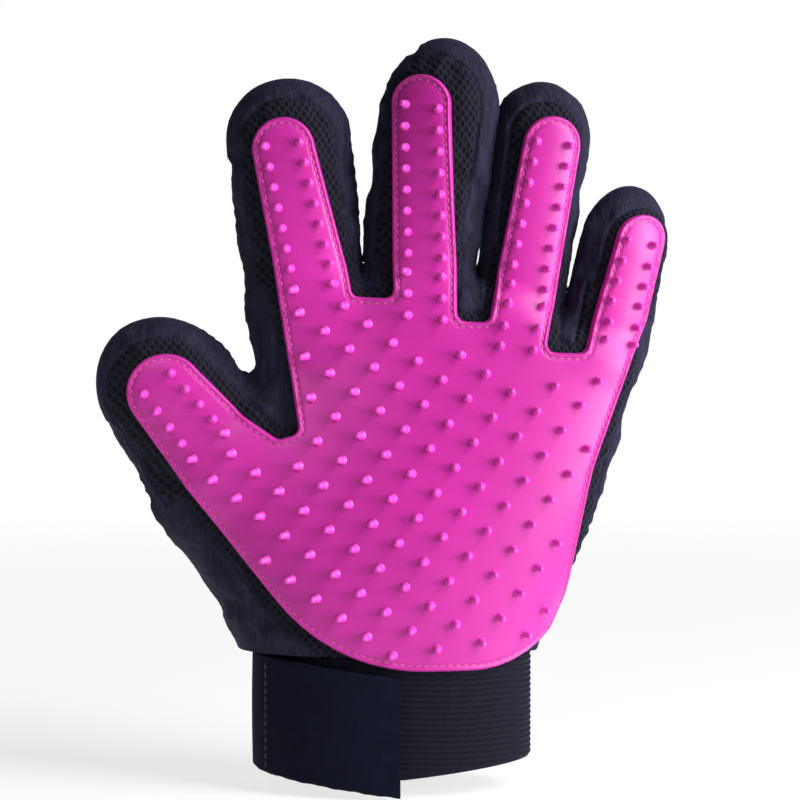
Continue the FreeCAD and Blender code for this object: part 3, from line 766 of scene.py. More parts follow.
def thread(path, ups, radius, sides=6, flat=0.75):
    """A round-ended stitch along a short path: points, faces."""
    path = np.asarray(path, float)
    tangent = unit(np.gradient(path, axis=0))
    side = unit(np.cross(ups, tangent))
    up = np.cross(tangent, side)
    ends = np.array([0.35] + [1.0] * (len(path) - 2) + [0.35])
    angle = 2 * math.pi * np.arange(sides) / sides
    rings = [
        p + radius * e * (math.cos(a) * s + flat * math.sin(a) * u)
        for p, s, u, e in zip(path, side, up, ends)
        for a in angle
    ]
    return np.array(rings), tube_faces(len(path), sides)


def chains(edges):
    """Joins edges into ordered runs of points."""
    near = {}
    for a, b in edges.tolist():
        near.setdefault(a, []).append(b)
        near.setdefault(b, []).append(a)
    runs, left = [], set(near)
    ends = [p for p, n in near.items() if len(n) == 1]
    for start in ends + sorted(near):
        if start not in left:
            continue
        run, here = [start], start
        left.discard(start)
        while True:
            step = [n for n in near[here] if n in left]
            if not step:
                break
            here = step[0]
            left.discard(here)
            run.append(here)
        if len(run) > 3:
            closed = run[0] in near[run[-1]]
            runs.append(run + [run[0]] if closed else run)
    return runs


def resample(points, pitch):
    """Points at an even pitch along a polyline."""
    length = np.concatenate(([0], np.cumsum(np.linalg.norm(np.diff(points, axis=0), axis=1))))
    spots = np.arange(0, length[-1], pitch)
    return np.stack([np.interp(spots, length, points[:, k]) for k in range(points.shape[1])], 1)


# ---- materials ----
class Nodes:
    """Short names for building a material's nodes."""

    def __init__(self, name):
        self.material = bpy.data.materials.new(name)
        self.material.use_nodes = True
        self.tree = self.material.node_tree
        self.shader = self.tree.nodes["Principled BSDF"]

    def add(self, kind, inputs=None, **settings):
        node = self.tree.nodes.new(kind)
        for key, value in settings.items():
            setattr(node, key, value)
        for key, value in (inputs or {}).items():
            self.put(node.inputs[key], value)
        return node

    def put(self, socket, value):
        if isinstance(value, bpy.types.NodeSocket):
            self.tree.links.new(value, socket)
        else:
            socket.default_value = value

    def set(self, **inputs):
        for key, value in inputs.items():
            self.put(self.shader.inputs[key.replace("_", " ")], value)

    def math(self, operation, a, b=0.0, c=None):
        node = self.add("ShaderNodeMath", operation=operation)
        self.put(node.inputs[0], a)
        self.put(node.inputs[1], b)
        if c is not None:
            self.put(node.inputs[2], c)
        return node.outputs[0]

    def rest(self):
        """The point's place at rest, in millimetres."""
        return self.add("ShaderNodeAttribute", attribute_name="rest").outputs["Vector"]

    def noise(self, scale, detail=3.0, vector=None):
        node = self.add("ShaderNodeTexNoise", {"Scale": scale, "Detail": detail, "Roughness": 0.55})
        self.put(node.inputs["Vector"], vector or self.rest())
        return node.outputs["Fac"]

    def ramp(self, factor, *stops):
        node = self.add("ShaderNodeValToRGB")
        self.put(node.inputs[0], factor)
        while len(node.color_ramp.elements) < len(stops):
            node.color_ramp.elements.new(0.5)
        for element, (place, colour) in zip(node.color_ramp.elements, stops):
            element.position = place
            element.color = (*colour, 1.0) if len(colour) == 3 else colour
        return node.outputs[0]

    def bump(self, height, strength, distance, normal=None):
        node = self.add("ShaderNodeBump", {"Strength": strength, "Distance": distance * MM})
        self.put(node.inputs["Height"], height)
        if normal:
            self.put(node.inputs["Normal"], normal)
        return node.outputs[0]

    def axes(self):
        """The rest place's x, y and z."""
        node = self.add("ShaderNodeSeparateXYZ")
        self.put(node.inputs[0], self.rest())
        return node.outputs


def silicone(name, tone):
    """Soft moulded silicone: a little light goes through it."""
    n = Nodes(name)
    cloud = n.noise(0.035, 3.0)
    grain = n.noise(2.2, 4.0)
    colour = n.ramp(cloud, (0.3, tuple(c * 0.88 for c in tone)), (0.7, tone))
    n.set(Base_Color=colour, Roughness=n.math("MULTIPLY_ADD", grain, 0.14, 0.36))
    n.set(Subsurface_Weight=0.18, Subsurface_Radius=(1.0, 0.25, 0.55), Subsurface_Scale=0.0015)
    n.set(Specular_IOR_Level=0.5, Sheen_Weight=0.12, Sheen_Roughness=0.5, Sheen_Tint=(1.0, 0.5, 0.95, 1.0))
    n.set(Normal=n.bump(grain, 0.25, 0.12))
    return n.material


def holes(n, u, v, width, height):
    """0 in the middle of each hole of a staggered lattice, rising to 1 outside."""

    def row(shift):
        a = n.math("ADD", n.math("DIVIDE", u, width), shift)
        b = n.math("ADD", n.math("DIVIDE", v, height), shift)
        x = n.math("SUBTRACT", n.math("FRACT", a), 0.5)
        y = n.math("SUBTRACT", n.math("FRACT", b), 0.5)
        x = n.math("MULTIPLY", x, 1.15)
        return n.math("SQRT", n.math("ADD", n.math("MULTIPLY", x, x), n.math("MULTIPLY", y, y)))

    return n.math("MINIMUM", row(0.0), row(0.5))


def fabric_plane(n):
    """Coordinates in the fabric's plane: across it (x, or y on the flanks) and z."""
    x, y, z = n.axes()
    return n.math("ADD", x, n.math("MULTIPLY", y, 0.6)), z


def air_mesh(name, dark, light, width, height):
    """A knit with staggered oval holes."""
    n = Nodes(name)
    u, v = fabric_plane(n)
    wobble = n.math("MULTIPLY_ADD", n.noise(0.5, 2.0), 0.5, -0.25)
    lattice = holes(n, n.math("ADD", u, wobble), v, width, height)
    solid = n.ramp(lattice, (0.20, (0, 0, 0)), (0.33, (1, 1, 1)))
    yarn = n.noise(5.0, 3.0)
    tone = n.math("MULTIPLY", solid, n.math("MULTIPLY_ADD", yarn, 0.6, 0.6))
    n.set(Base_Color=n.ramp(tone, (0.0, dark), (1.0, light)), Roughness=0.85, Specular_IOR_Level=0.2)
    n.set(Sheen_Weight=0.10, Sheen_Roughness=0.4, Sheen_Tint=(0.45, 0.5, 1.0, 1.0))
    fine = n.bump(yarn, 0.5, 0.15)
    n.set(Normal=n.bump(solid, 0.9, 0.5, fine))
    return n.material


def knit(name, dark, light, pitch=1.1, sheen=0.12):
    """A fine diagonal knit with lengthwise streaks that lighten it where they rise: partly its own tone,
    partly painted highlight along its crumples.
    """
    n = Nodes(name)
    u, v = fabric_plane(n)
    across = n.math("ADD", u, v)
    rib = n.math("SINE", n.math("MULTIPLY", across, 2 * math.pi / pitch))
    stitch = n.math("SINE", n.math("MULTIPLY", n.math("SUBTRACT", v, u), 2 * math.pi / (pitch * 0.8)))
    weave = n.math("MULTIPLY_ADD", n.math("MULTIPLY", rib, stitch), 0.5, 0.5)
    fuzz = n.noise(3.0, 4.0)
    cloud = n.noise(0.09, 3.0)
    drawn = n.add("ShaderNodeVectorMath", {0: n.rest(), 1: (1.1, 1.1, 0.09)}, operation="MULTIPLY")
    # lengthwise streaks: the knit's own streaky tone and painted highlight along its crumples, which the bump
    # raises too
    streak_tone_and_highlight = n.noise(0.8, 3.0, drawn.outputs[0])
    mottle = n.math("MULTIPLY", n.math("ADD", fuzz, cloud), 0.25)
    tone = n.math("ADD", n.math("MULTIPLY", weave, 0.25), mottle)
    # the streaks lighten the colour: painted highlight over the knit's tone
    tone = n.math("MULTIPLY_ADD", n.math("POWER", streak_tone_and_highlight, 2.0), 1.4, n.math("SUBTRACT", tone, 0.12))
    n.set(Base_Color=n.ramp(tone, (0.1, dark), (0.9, light)), Roughness=0.8, Specular_IOR_Level=0.22)
    n.set(Sheen_Weight=sheen, Sheen_Roughness=0.35, Sheen_Tint=(0.45, 0.5, 1.0, 1.0))
    n.set(Normal=n.bump(weave, 0.5, 0.18, n.bump(streak_tone_and_highlight, 0.6, 0.9)))
    return n.material


def velour(name, dark, light, sheen=0.4):
    """Short brushed pile."""
    n = Nodes(name)
    fuzz = n.noise(4.5, 5.0)
    cloud = n.noise(0.16, 4.0)
    tone = n.math("MULTIPLY_ADD", fuzz, 0.5, n.math("MULTIPLY", cloud, 0.5))
    n.set(Base_Color=n.ramp(tone, (0.3, dark), (0.75, light)), Roughness=0.95, Specular_IOR_Level=0.15)
    n.set(Sheen_Weight=sheen, Sheen_Roughness=0.5, Sheen_Tint=(0.5, 0.55, 0.9, 1.0))
    n.set(Normal=n.bump(fuzz, 0.6, 0.25))
    return n.material


def elastic_weave(name="elastic"):
    """Ribbed elastic: the ribs are in the mesh, the yarn's cross threads are here."""
    n = Nodes(name)
    x, y, z = n.axes()
    angle = n.math("ARCTAN2", y, x)
    cord = n.math("SINE", n.math("MULTIPLY", angle, 260.0))
    yarn = n.noise(4.0, 3.0)
    tone = n.math("MULTIPLY_ADD", cord, 0.2, n.math("MULTIPLY_ADD", yarn, 0.8, 0.1))
    colour = n.ramp(tone, (0.1, (0.0010, 0.0012, 0.0036)), (0.9, (0.0038, 0.0045, 0.0130)))
    n.set(Base_Color=colour, Roughness=0.7, Specular_IOR_Level=0.15)
    n.set(Sheen_Weight=0.10, Sheen_Roughness=0.4, Sheen_Tint=(0.45, 0.45, 1.0, 1.0))
    n.set(Normal=n.bump(cord, 0.35, 0.12, n.bump(yarn, 0.4, 0.15)))
    return n.material


def plain(name, colour, roughness):
    """Moulded or spun material with a fine grain."""
    n = Nodes(name)
    grain = n.noise(3.0, 4.0)
    low = tuple(c * 0.75 for c in colour)
    n.set(Base_Color=n.ramp(grain, (0.3, low), (0.8, colour)), Roughness=roughness)
    n.set(Normal=n.bump(grain, 0.3, 0.1))
    return n.material


MATERIALS = {
    "silicone": silicone("silicone", (0.56, 0.017, 0.33)),
    # the nubs are the pad's own silicone; their lighter, pinker tone is painted highlight for the light they
    # catch
    "nub_silicone_painted_highlight": silicone("nub_silicone_painted_highlight", (0.80, 0.055, 0.52)),
    "air_mesh": air_mesh("air_mesh", (0.0010, 0.0011, 0.0024), (0.0095, 0.0100, 0.0210), 2.7, 3.3),
    "back_mesh": air_mesh("back_mesh", (0.0010, 0.0011, 0.0024), (0.0100, 0.0105, 0.0220), 3.0, 3.2),
    "side_knit": knit("side_knit", (0.0014, 0.0016, 0.0045), (0.0165, 0.0175, 0.0420)),
    "elastic": elastic_weave(),
    "velour": velour("velour", (0.0008, 0.0013, 0.0060), (0.0035, 0.0052, 0.0210), 0.06),
    "pile": velour("pile", (0.004, 0.004, 0.006), (0.018, 0.018, 0.024)),
    "tape": plain("tape", (0.012, 0.012, 0.014), 0.8),
    "hooks": plain("hooks", (0.012, 0.012, 0.014), 0.5),
    "black_thread": plain("black_thread", (0.035, 0.036, 0.055), 0.6),
    "pink_thread": plain("pink_thread", (0.70, 0.09, 0.36), 0.55),
}


# ---- building the skin, the pad and the nubs ----
def build_sheet(puff, names, with_palm, low, high):
    """The skin over some of the digits as one sheet, cut along every line that matters."""

    def field(points):
        return skin_field(points, names)

    cell = CELL * 1.0
    points, quads = surface_net(field, np.floor(np.array(low) / cell) * cell, np.array(high), cell)
    points = relax(project(points, 3, field), quads, 4, field)
    faces = np.concatenate((quads[:, [0, 1, 2]], quads[:, [0, 2, 3]]))
    normals = unit(gradient(field, points))
    values = {
        "pad": on_surface(pad_distance, points, normals),
        "front": on_surface(front_distance, points, normals),
        "back": on_surface(back_distance, points, normals),
        "hem": points[:, 2].copy(),
    }
    for name in names:
        values[name + "_base"], values[name + "_tip"] = cut_height(name, points)
    values["thumb_side"] = digit_field("thumb", points) - palm_field(points)
    sheet = Sheet(points, faces, values)
    for name in names:
        sheet.cut(name + "_base", 0.0).cut(name + "_tip", 0.0)
    sheet.cut("thumb_side", 0.0)
    for name in ("front", "back"):
        for level in SEAM_LEVELS:
            sheet.cut(name, level)
    for level in PAD_LEVELS:
        sheet.cut("pad", level, 0.05)
    if with_palm:
        sheet.cut("hem", HEM)
    sheet.points = project(sheet.points, 1, field)
    sheet.values["out"] = unit(gradient(field, sheet.points))
    sheet.values["puff"] = puff(sheet.points)
    for key, height in (("skin_shade", seam_relief(sheet)), ("pad_shade", pad_face(sheet))):
        sheet.values[key] = point_normals(sheet.points + sheet.values["out"] * height[:, None], sheet.faces)
    labels = piece_of(sheet.points[sheet.faces].mean(1))
    wanted = [2 * NAMES.index(name) + k for name in names for k in (0, 1)]
    mine = labels < 0 if with_palm else np.isin(labels, wanted)
    return sheet.part(mine), labels[mine]


def inflate(obj):
    """Runs the cloth, blown up from inside, and returns its points at the last frame in millimetres."""
    modifier = obj.modifiers.new("cloth", "CLOTH")
    cloth = modifier.settings
    cloth.quality = 6
    cloth.use_pressure = True
    cloth.uniform_pressure_force = 4.0
    cloth.shrink_min = -CUSHION_SLACK
    cloth.vertex_group_mass = "pin"
    cloth.effector_weights.gravity = 0.0
    modifier.collision_settings.use_collision = False
    modifier.point_cache.frame_start, modifier.point_cache.frame_end = 1, CUSHION_FRAMES
    scene = bpy.context.scene
    for step in range(1, CUSHION_FRAMES + 1):
        scene.frame_set(step)
    moved = obj.evaluated_get(bpy.context.evaluated_depsgraph_get()).data
    out = np.empty(len(moved.vertices) * 3)
    moved.vertices.foreach_get("co", out)
    scene.frame_set(1)
    return out.reshape(-1, 3) / MM


def cushion():
    """The fabric's puff and wrinkles: a coarse copy of the skin run as cloth, held by the pad, the seams and
    the cuff. Returns a function from points to how far the fabric stands out there."""
    low, high = np.array(NET_GROUPS[0][2]), np.array(NET_GROUPS[2][3])
    points, quads = surface_net(skin_field, low, high, CUSHION_CELL)
    points = relax(project(points), quads, 3, skin_field)
    normals = unit(gradient(skin_field, points))
    seam = np.minimum(np.abs(front_distance(points)), np.abs(back_distance(points)))
    hold = np.clip(1 - seam / 3.0, 0, 1) * 0.9
    hold = np.where((pad_distance(points) > -2.0) | (points[:, 2] < HEM + 4), 1.0, hold)
    mesh = bpy.data.meshes.new("cushion")
    mesh.from_pydata((points * MM).tolist(), [], quads.tolist())
    obj = bpy.data.objects.new("cushion", mesh)
    bpy.context.scene.collection.objects.link(obj)
    group = obj.vertex_groups.new(name="pin")
    for i, weight in enumerate(hold):
        group.add([i], float(weight), "REPLACE")
    lift = ((inflate(obj) - points) * normals).sum(1)
    lift = np.clip(np.nan_to_num(lift), *CUSHION_LIMITS) * (hold < 1)
    bpy.data.objects.remove(obj)
    tree = KDTree(len(points))
    for i, point in enumerate(points):
        tree.insert(point, i)
    tree.balance()

    def lift_at(places):
        out = np.empty(len(places))
        for k, place in enumerate(places):
            near = tree.find_n(place, 5)
            weights = np.array([1 / (d + 0.5) ** 2 for unused, unused_too, d in near])
            out[k] = (weights * lift[[i for unused, i, unused_too in near]]).sum() / weights.sum()
        return out

    return lift_at


def seam_relief(sheet):
    """How far the fabric sinks or rises: its puff, and the furrow and welts at its seams."""
    relief = sheet.values["puff"].copy()
    for name in ("front", "back"):
        d = sheet.values[name]
        relief -= SEAM_DEPTH * np.exp(-((d / SEAM_WIDTH) ** 2))
        relief += WELT * np.exp(-(((np.abs(d) - WELT_LINE) / WELT_WIDTH) ** 2))
    return relief


def pad_height(d):
    """The pad's face over the fabric at a distance from its edge: a round rim with a bead, the stitch line
    sunk behind it, then the flat."""
    rim = np.sqrt(np.clip(1 - (1 - np.clip(d / PAD_RIM, 0, 1)) ** 2, 0, 1))
    bead = BEAD * np.exp(-(((d - BEAD_LINE) / BEAD_WIDTH) ** 2))
    groove = GROOVE * np.exp(-(((d - STITCH_LINE) / GROOVE_WIDTH) ** 2))
    return PAD_LIFT + PAD_THICK * rim + (bead - groove) * np.clip(d / 0.4, 0, 1)


def pad_face(sheet):
    return pad_height(sheet.values["pad"])


PANELS = {
    "front": ("front_panel", "air_mesh"),
    "back": ("back_panel", "back_mesh"),
    "side": ("side_strip", "side_knit"),
}


def panel_kind(sheet):
    """For each triangle: front, back or side."""
    kind = np.full(len(sheet.faces), "side ")
    kind[sheet.middle("front") > 0] = "front"
    kind[sheet.middle("back") > 0] = "back "
    return np.char.strip(kind)


def build_layer(sheet, keep, label, prefix, heights, inner, material, node):
    """A closed solid over some of the sheet's triangles, standing for one node; the palm's pieces move with
    the palm.
    """
    part = sheet.part(keep)
    if not len(part.faces):
        return
    shade = part.values["pad_shade" if material == "silicone" else "skin_shade"]
    points, faces, corners = thicken(part, heights(part), np.full(len(part.points), inner), shade)
    obj = make_object(prefix + node, points, faces, MATERIALS[material], corners)
    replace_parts(attach(obj, label), node)


def build_fabric(sheet, labels):
    """The skin's panels, one object per panel per body."""
    kinds = panel_kind(sheet)
    above = sheet.middle("hem") > HEM
    for label in np.unique(labels):
        for kind, (suffix, material) in PANELS.items():
            keep = (labels == label) & (kinds == kind) & above
            node = f"{piece_name(label)}_{suffix}"
            if node == "palm_side_strip":
                node = "palm_side_strips"
            build_layer(sheet, keep, label, "skin_", seam_relief, -FABRIC, material, node)


def build_pad(sheet, labels):
    """The silicone pad, one object per body."""
    inside = sheet.middle("pad") > 0
    for label in np.unique(labels[inside]):
        node = piece_name(label) + "_pad"
        keep = (labels == label) & inside
        build_layer(sheet, keep, label, "silicone_", pad_face, PAD_LIFT, "silicone", node)


def build_bags(bags, prefix, material):
    """One object per body from the bags of small solids on the pad."""
    for label, bag in bags.items():
        obj = bag.build(f"{prefix}_{piece_name(label)}", MATERIALS[material])
        attach(obj, label)


def nub_places():
    """The foot of every nub: the digits' rows, their ends over the palm and the palm's grid."""
    places = []
    for name, d in DIGITS.items():
        rows = int((d.length - d.tip_margin - NUB_TIP_MARGIN - NUB_ROW_PITCH / 2) / NUB_ROW_PITCH) + 1
        for i in range(rows):
            z = NUB_ROW_PITCH * (i + 0.5) + (THUMB_NUB_RISE if name == "thumb" else 0.0)
            centre, half = strip_at(d, z)
            for side in (-1, 1):
                places.append(digit_spot(name, centre + side * d.nub_a * half / d.pad_base, z))
    roots = root_rows()
    grid = palm_grid(roots)
    return np.array(places + [front_spot(x, z) for x, z in roots + grid])


def digit_spot(name, x, z):
    """A point on the palm side of a digit's tube."""
    d = DIGITS[name]
    return FRAMES[name].world((x, -d.half_t * math.sqrt(1 - (x / d.full_a) ** 2), z))


def front_spot(x, z):
    """A point in front of the palm, to be moved onto it."""
    depth = np.linspace(-40, 5, 181)
    line = np.stack((np.full(181, x), depth, np.full(181, z)), 1)
    values = skin_field(line)
    first = np.argmax(values < 0)
    return line[first]


def root_rows():
    """The fingers' rows carried on down over the palm, as far as the slots between the fingers reach."""
    points = []
    for name in FINGERS:
        d = DIGITS[name]
        place = FINGERS.index(name)
        floors = [SLOT_FLOOR[n] for n in FINGERS[max(place - 1, 0): place + 1] if n in SLOT_FLOOR]
        z = -NUB_ROW_PITCH / 2
        while True:
            pair = [strip_point(name, z, side, d.nub_a - d.pad_base) for side in (-1, 1)]
            if pair[0][1] < min(floors) + 1.0:
                break
            points += [tuple(p) for p in pair]
            z -= NUB_ROW_PITCH
    return points


def palm_grid(taken):
    """The square grid over the palm, inside the pad's edge margin and clear of the digits' rows."""
    angle = math.radians(NUB_GRID_ANGLE)
    u = NUB_GRID_PITCH * np.array((math.cos(angle), math.sin(angle)))
    w = NUB_GRID_PITCH * np.array((-math.sin(angle), math.cos(angle)))
    steps = np.array([(i, j) for i in range(-15, 16) for j in range(-15, 16)])
    spots = np.array(NUB_GRID_POINT) + steps @ np.array((u, w))
    flat = np.stack((spots[:, 0], 0 * spots[:, 0], spots[:, 1]), 1)
    below = [FRAMES[name].local(flat)[:, 2] for name in FINGERS]
    deep = polygon_distance(PAD_POLYGON, spots[:, 0], spots[:, 1]) > NUB_EDGE_MARGIN
    clear = np.array([min(np.hypot(*(np.array(t) - s)) for t in taken) > NUB_CLEAR for s in spots])
    low = np.max(below, axis=0) < 3.0
    return [tuple(s) for s in spots[deep & clear & low]]


def build_nubs():
    """Every moulded nub: a slim cone on a flared foot with a round top, slightly uneven."""
    places = project(nub_places(), 3)
    normals = unit(gradient(skin_field, places))
    labels = piece_of(places)
    top = NUB_HEIGHT - NUB_TIP_R
    rise = np.radians((0, 25, 48, 68, 84))
    dome = [(NUB_TIP_R * math.cos(a), top + NUB_TIP_R * math.sin(a)) for a in rise]
    profile = [(1.7, -0.35), (1.55, -0.05), (1.34, 0.25), (1.22, 0.7)] + dome
    form, faces = lathe(profile, 14)
    random = np.random.default_rng(NUB_SEED)
    bags = {}
    for place, normal, label in zip(places, normals, labels):
        outwards = NUB_LEAN * np.clip((30.0 - place[0]) / 60.0, 0, 1) if label < 0 else 0.0
        lean = unit(normal + outwards * np.array((-0.95, 0.0, -0.3)) + random.normal(0, 0.02, 3))
        foot = place + normal * (PAD_LIFT + PAD_THICK)
        solid = stood(form * (1, 1, random.uniform(0.96, 1.04)), foot, lean)
        bags.setdefault(label, Bag()).add(solid, faces)
    # the nubs take the lighter copy of the silicone: painted highlight
    build_bags(bags, "nubs", "nub_silicone_painted_highlight")


def line_runs(sheet, name, level):
    """Runs of points along the line where a value equals a level."""
    edges = np.concatenate([sheet.faces[:, [0, 1]], sheet.faces[:, [1, 2]], sheet.faces[:, [2, 0]]])
    edges = np.unique(np.sort(edges, axis=1), axis=0)
    on = np.abs(sheet.values[name] - level) < 1e-6
    edges = edges[on[edges].all(1)]
    return [np.array(run) for run in chains(edges)]


def build_stitches(sheet):
    """The run of short stitches just inside the pad's edge."""
    height = pad_height(np.array([STITCH_LINE]))[0] + 0.12
    bags = {}
    for run in line_runs(sheet, "pad", STITCH_LINE):
        normals = sheet.values["out"][run]
        path = np.concatenate((sheet.points[run] + normals * height, normals), 1)
        if np.linalg.norm(np.diff(path[:, :3], axis=0), axis=1).sum() < 2 * STITCH_PITCH:
            continue
        path = resample(path, STITCH_LENGTH / 4)
        pitch = round(STITCH_PITCH / (STITCH_LENGTH / 4))
        for start in range(0, len(path) - 5, pitch):
            spots = path[start: start + 5]
            label = int(piece_of(spots[2:3, :3])[0])
            bags.setdefault(label, Bag()).add(*thread(spots[:, :3], spots[:, 3:], STITCH_R))
    build_bags(bags, "pad_stitches", "pink_thread")


# ---- cuff and strap ----
def cuff_point(angle, offset, z):
    """A point on the cuff's oval. Angle 0 is +X, -90 degrees the palm side."""
    a, b = CUFF_A + offset, CUFF_B + offset
    return np.stack((CUFF_X + a * np.cos(angle), b * np.sin(angle), z + 0 * angle), -1)


def grid_solid(outer, inner, closed):
    """A solid between two grids of points (rows, columns): closed joins the last column to the first."""
    rows, columns = outer.shape[:2]
    count = rows * columns
    index = np.arange(count).reshape(rows, columns)
    if closed:
        index = np.concatenate((index, index[:, :1]), axis=1)

    def wall(line):
        return np.stack((line[:-1], line[1:], line[1:] + count, line[:-1] + count), 1)

    face = np.stack((index[:-1, :-1], index[:-1, 1:], index[1:, 1:], index[1:, :-1]), -1).reshape(-1, 4)
    faces = [face, face[:, ::-1] + count, wall(index[0])[:, ::-1], wall(index[-1])]
    if not closed:
        faces += [wall(index[:, 0]), wall(index[:, -1])[:, ::-1]]
    return np.concatenate((outer.reshape(-1, 3), inner.reshape(-1, 3))), np.concatenate(faces)


def settle(obj, body, node):
    """A piece that moves with one body and stands for one node."""
    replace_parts(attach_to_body(obj, body), node)


def build_elastic():
    """The ribbed elastic: horizontal cords with a slight waver."""
    angle = np.linspace(0, 2 * math.pi, 241)[:-1]
    share = np.linspace(0, 1, int((CUFF_TOP - ELASTIC_BOTTOM) / CORD_PITCH * CORD_STEPS))
    grids = []
    for base, rib in ((0.0, 0.55), (-ELASTIC_THICK, -0.25)):
        rows = []
        for t in share:
            x = CUFF_X + CUFF_A * np.cos(angle)
            low = ELASTIC_BOTTOM + ELASTIC_RISE * np.abs(x - 3.0)
            z = low + (CUFF_TOP + 1.2 - low) * t
            waver = 0.25 * np.sin(3 * angle + 1.0) + 0.15 * np.sin(7 * angle)
            cord = np.abs(np.sin(math.pi * ((CUFF_TOP - z) + waver) / CORD_PITCH)) - 0.6
            ends = np.sin(math.pi * np.clip(min(t, 1 - t) * 14, 0, 0.5))
            tuck = -1.6 * np.clip((t - 0.93) / 0.07, 0, 1)
            rounding = 0.5 * (1 - ends) * np.sign(rib)
            rows.append(cuff_point(angle, base + rib * cord * ends + tuck - rounding, z))
        grids.append(np.array(rows))
    points, faces = grid_solid(grids[0], grids[1], True)
    obj = make_object("elastic_cuff", points, faces, MATERIALS["elastic"])
    settle(obj, "palm", "cuff_elastic")


def strap_solid(angle, inner, outer):
    """A length of the strap between angles: a soft band with rounded edges."""
    random = np.random.default_rng(STRAP_SEED)
    across = np.concatenate((np.linspace(0, 0.06, 5), np.linspace(0.08, 0.92, 24), np.linspace(0.94, 1, 5)))
    ripple = random.normal(0, 1, 2)
    grids = []
    for base in (outer, inner):
        rows = []
        for t in across:
            x = cuff_point(angle, base, 0.0)[:, 0]
            low = STRAP_SLOPE * x
            wave = 0.12 * np.sin(x * 0.55 + ripple[0]) + 0.1 * np.sin(x * 1.3 + ripple[1])
            z = low + wave + (STRAP_WIDTH - wave) * t
            edge = min(t, 1 - t) * STRAP_WIDTH
            rounding = (outer - inner) / 2 * (1 - math.sqrt(1 - (1 - min(edge / 0.9, 1)) ** 2))
            offset = base - rounding if base == outer else base + rounding
            swell = 0.25 * math.sin(math.pi * t) if base == outer else 0.0
            rows.append(cuff_point(angle, offset + swell, z))
        grids.append(np.array(rows))
    return grid_solid(grids[0], grids[1], False)


def angle_at(x):
    """The cuff's angle on the palm side at a given x of the strap's face."""
    return -math.acos(np.clip((x - CUFF_X) / (CUFF_A + STRAP[1]), -1, 1))


def strap_length(name, node, first, last, inner, outer):
    """A length of the strap between two angles as one soft band."""
    angle = np.linspace(first, last, max(12, int(abs(last - first) * 30)))
    obj = make_object("velour_" + name, *strap_solid(angle, inner, outer), MATERIALS["velour"])
    return obj


def build_strap():
    """The sewn end goes round the cuff's side and rides on the palm; two more lengths carry the strap on from
    the sewn line to its free end.
    """
    sewn, fold, free = STRAP_X
    middle = (sewn + fold) / 2
    end = strap_length("sewn", "strap_sewn_end", math.radians(-188), angle_at(sewn), 0.6, STRAP[1])
    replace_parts(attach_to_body(end, "palm"), "strap_sewn_end")
    length = strap_length("inner", "strap_inner_length", angle_at(sewn), angle_at(middle), *STRAP)
    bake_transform(length)
    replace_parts(length, "strap_inner_length")
    length = strap_length("end", "strap_end_length", angle_at(middle), angle_at(free), *STRAP)
    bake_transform(length)
    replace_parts(length, "strap_end_length")


def patch(name, node, body, material, inner, outer, x0, x1, trim):
    """A thin patch on the cuff's front between two x, following the strap's slant."""
    angle = np.linspace(angle_at(x0), angle_at(x1), 30)
    grids = []
    for offset in (outer, inner):
        rows = []
        for t in np.linspace(0, 1, 20):
            x = cuff_point(angle, offset, 0.0)[:, 0]
            low = np.maximum(STRAP_SLOPE * x + trim, ELASTIC_BOTTOM + 2.5 if name == "loop_pile" else -99.0)
            high = STRAP_SLOPE * x + STRAP_WIDTH - trim
            rows.append(cuff_point(angle, offset, low + (high - low) * t))
        grids.append(np.array(rows))
    obj = make_object(name, *grid_solid(*grids, False), MATERIALS[material])
    settle(obj, body, node)
    return grids


def build_patches():
    """Pile on the cuff and hooks under the strap's end."""
    x0, x1 = STRAP_X[1], STRAP_X[2]
    patch("loop_pile", "cuff_loop_patch", "palm", "pile", 0.3, 0.75, x0 + 2, x1 - 1, 2.5)
    inner = patch("hook_tape", "strap_hook_patch", "strap_end", "hooks", 1.1, 1.6, x0 + 2.5, x1 - 1.5, 1.5)[1]
    hooks = Bag()
    form, faces = lathe([(0.22, -0.1), (0.16, 0.12), (0.3, 0.2), (0.2, 0.3)], 5)
    for row in inner[1:-1]:
        for place in row[1:-1]:
            outward = np.array(((CUFF_X - place[0]) / CUFF_A**2, -place[1] / CUFF_B**2, 0.0))
            hooks.add(stood(form, place, outward), faces)
    obj = hooks.build("hooks", MATERIALS["hooks"])
    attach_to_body(obj, "strap_end")


def build_strap_stitches():
    """The row of thread that holds the strap's end down."""
    bag = Bag()
    face = STRAP[1] + 0.2 + STRAP_STITCH_R / 2
    for i in range(STRAP_STITCHES):
        low = STRAP_SLOPE * STRAP_STITCH_X + 2.0 + i * (STRAP_WIDTH - 4.0) / STRAP_STITCHES
        z = low + np.linspace(0, 2.0, 5)
        points = cuff_point(np.full(5, angle_at(STRAP_STITCH_X)), face, z)
        out = points - np.array((CUFF_X, 0.0, 0.0))
        bag.add(*thread(points, unit(out * (1, (CUFF_A / CUFF_B) ** 2, 0)), STRAP_STITCH_R))
    obj = bag.build("strap_seam_thread", MATERIALS["black_thread"])
    settle(obj, "palm", "strap_stitches")


def build_tape():
    """The tape inside the cuff's upper edge."""
    angle = np.linspace(0, 2 * math.pi, 121)[:-1]
    heights = np.linspace(*TAPE_HEIGHTS, 8)
    grids = [np.array([cuff_point(angle, offset, z) for z in heights]) for offset in TAPE_OFFSETS]
    obj = make_object("seam_tape", *grid_solid(*grids, True), MATERIALS["tape"])
    settle(obj, "palm", "cuff_seam_tape")


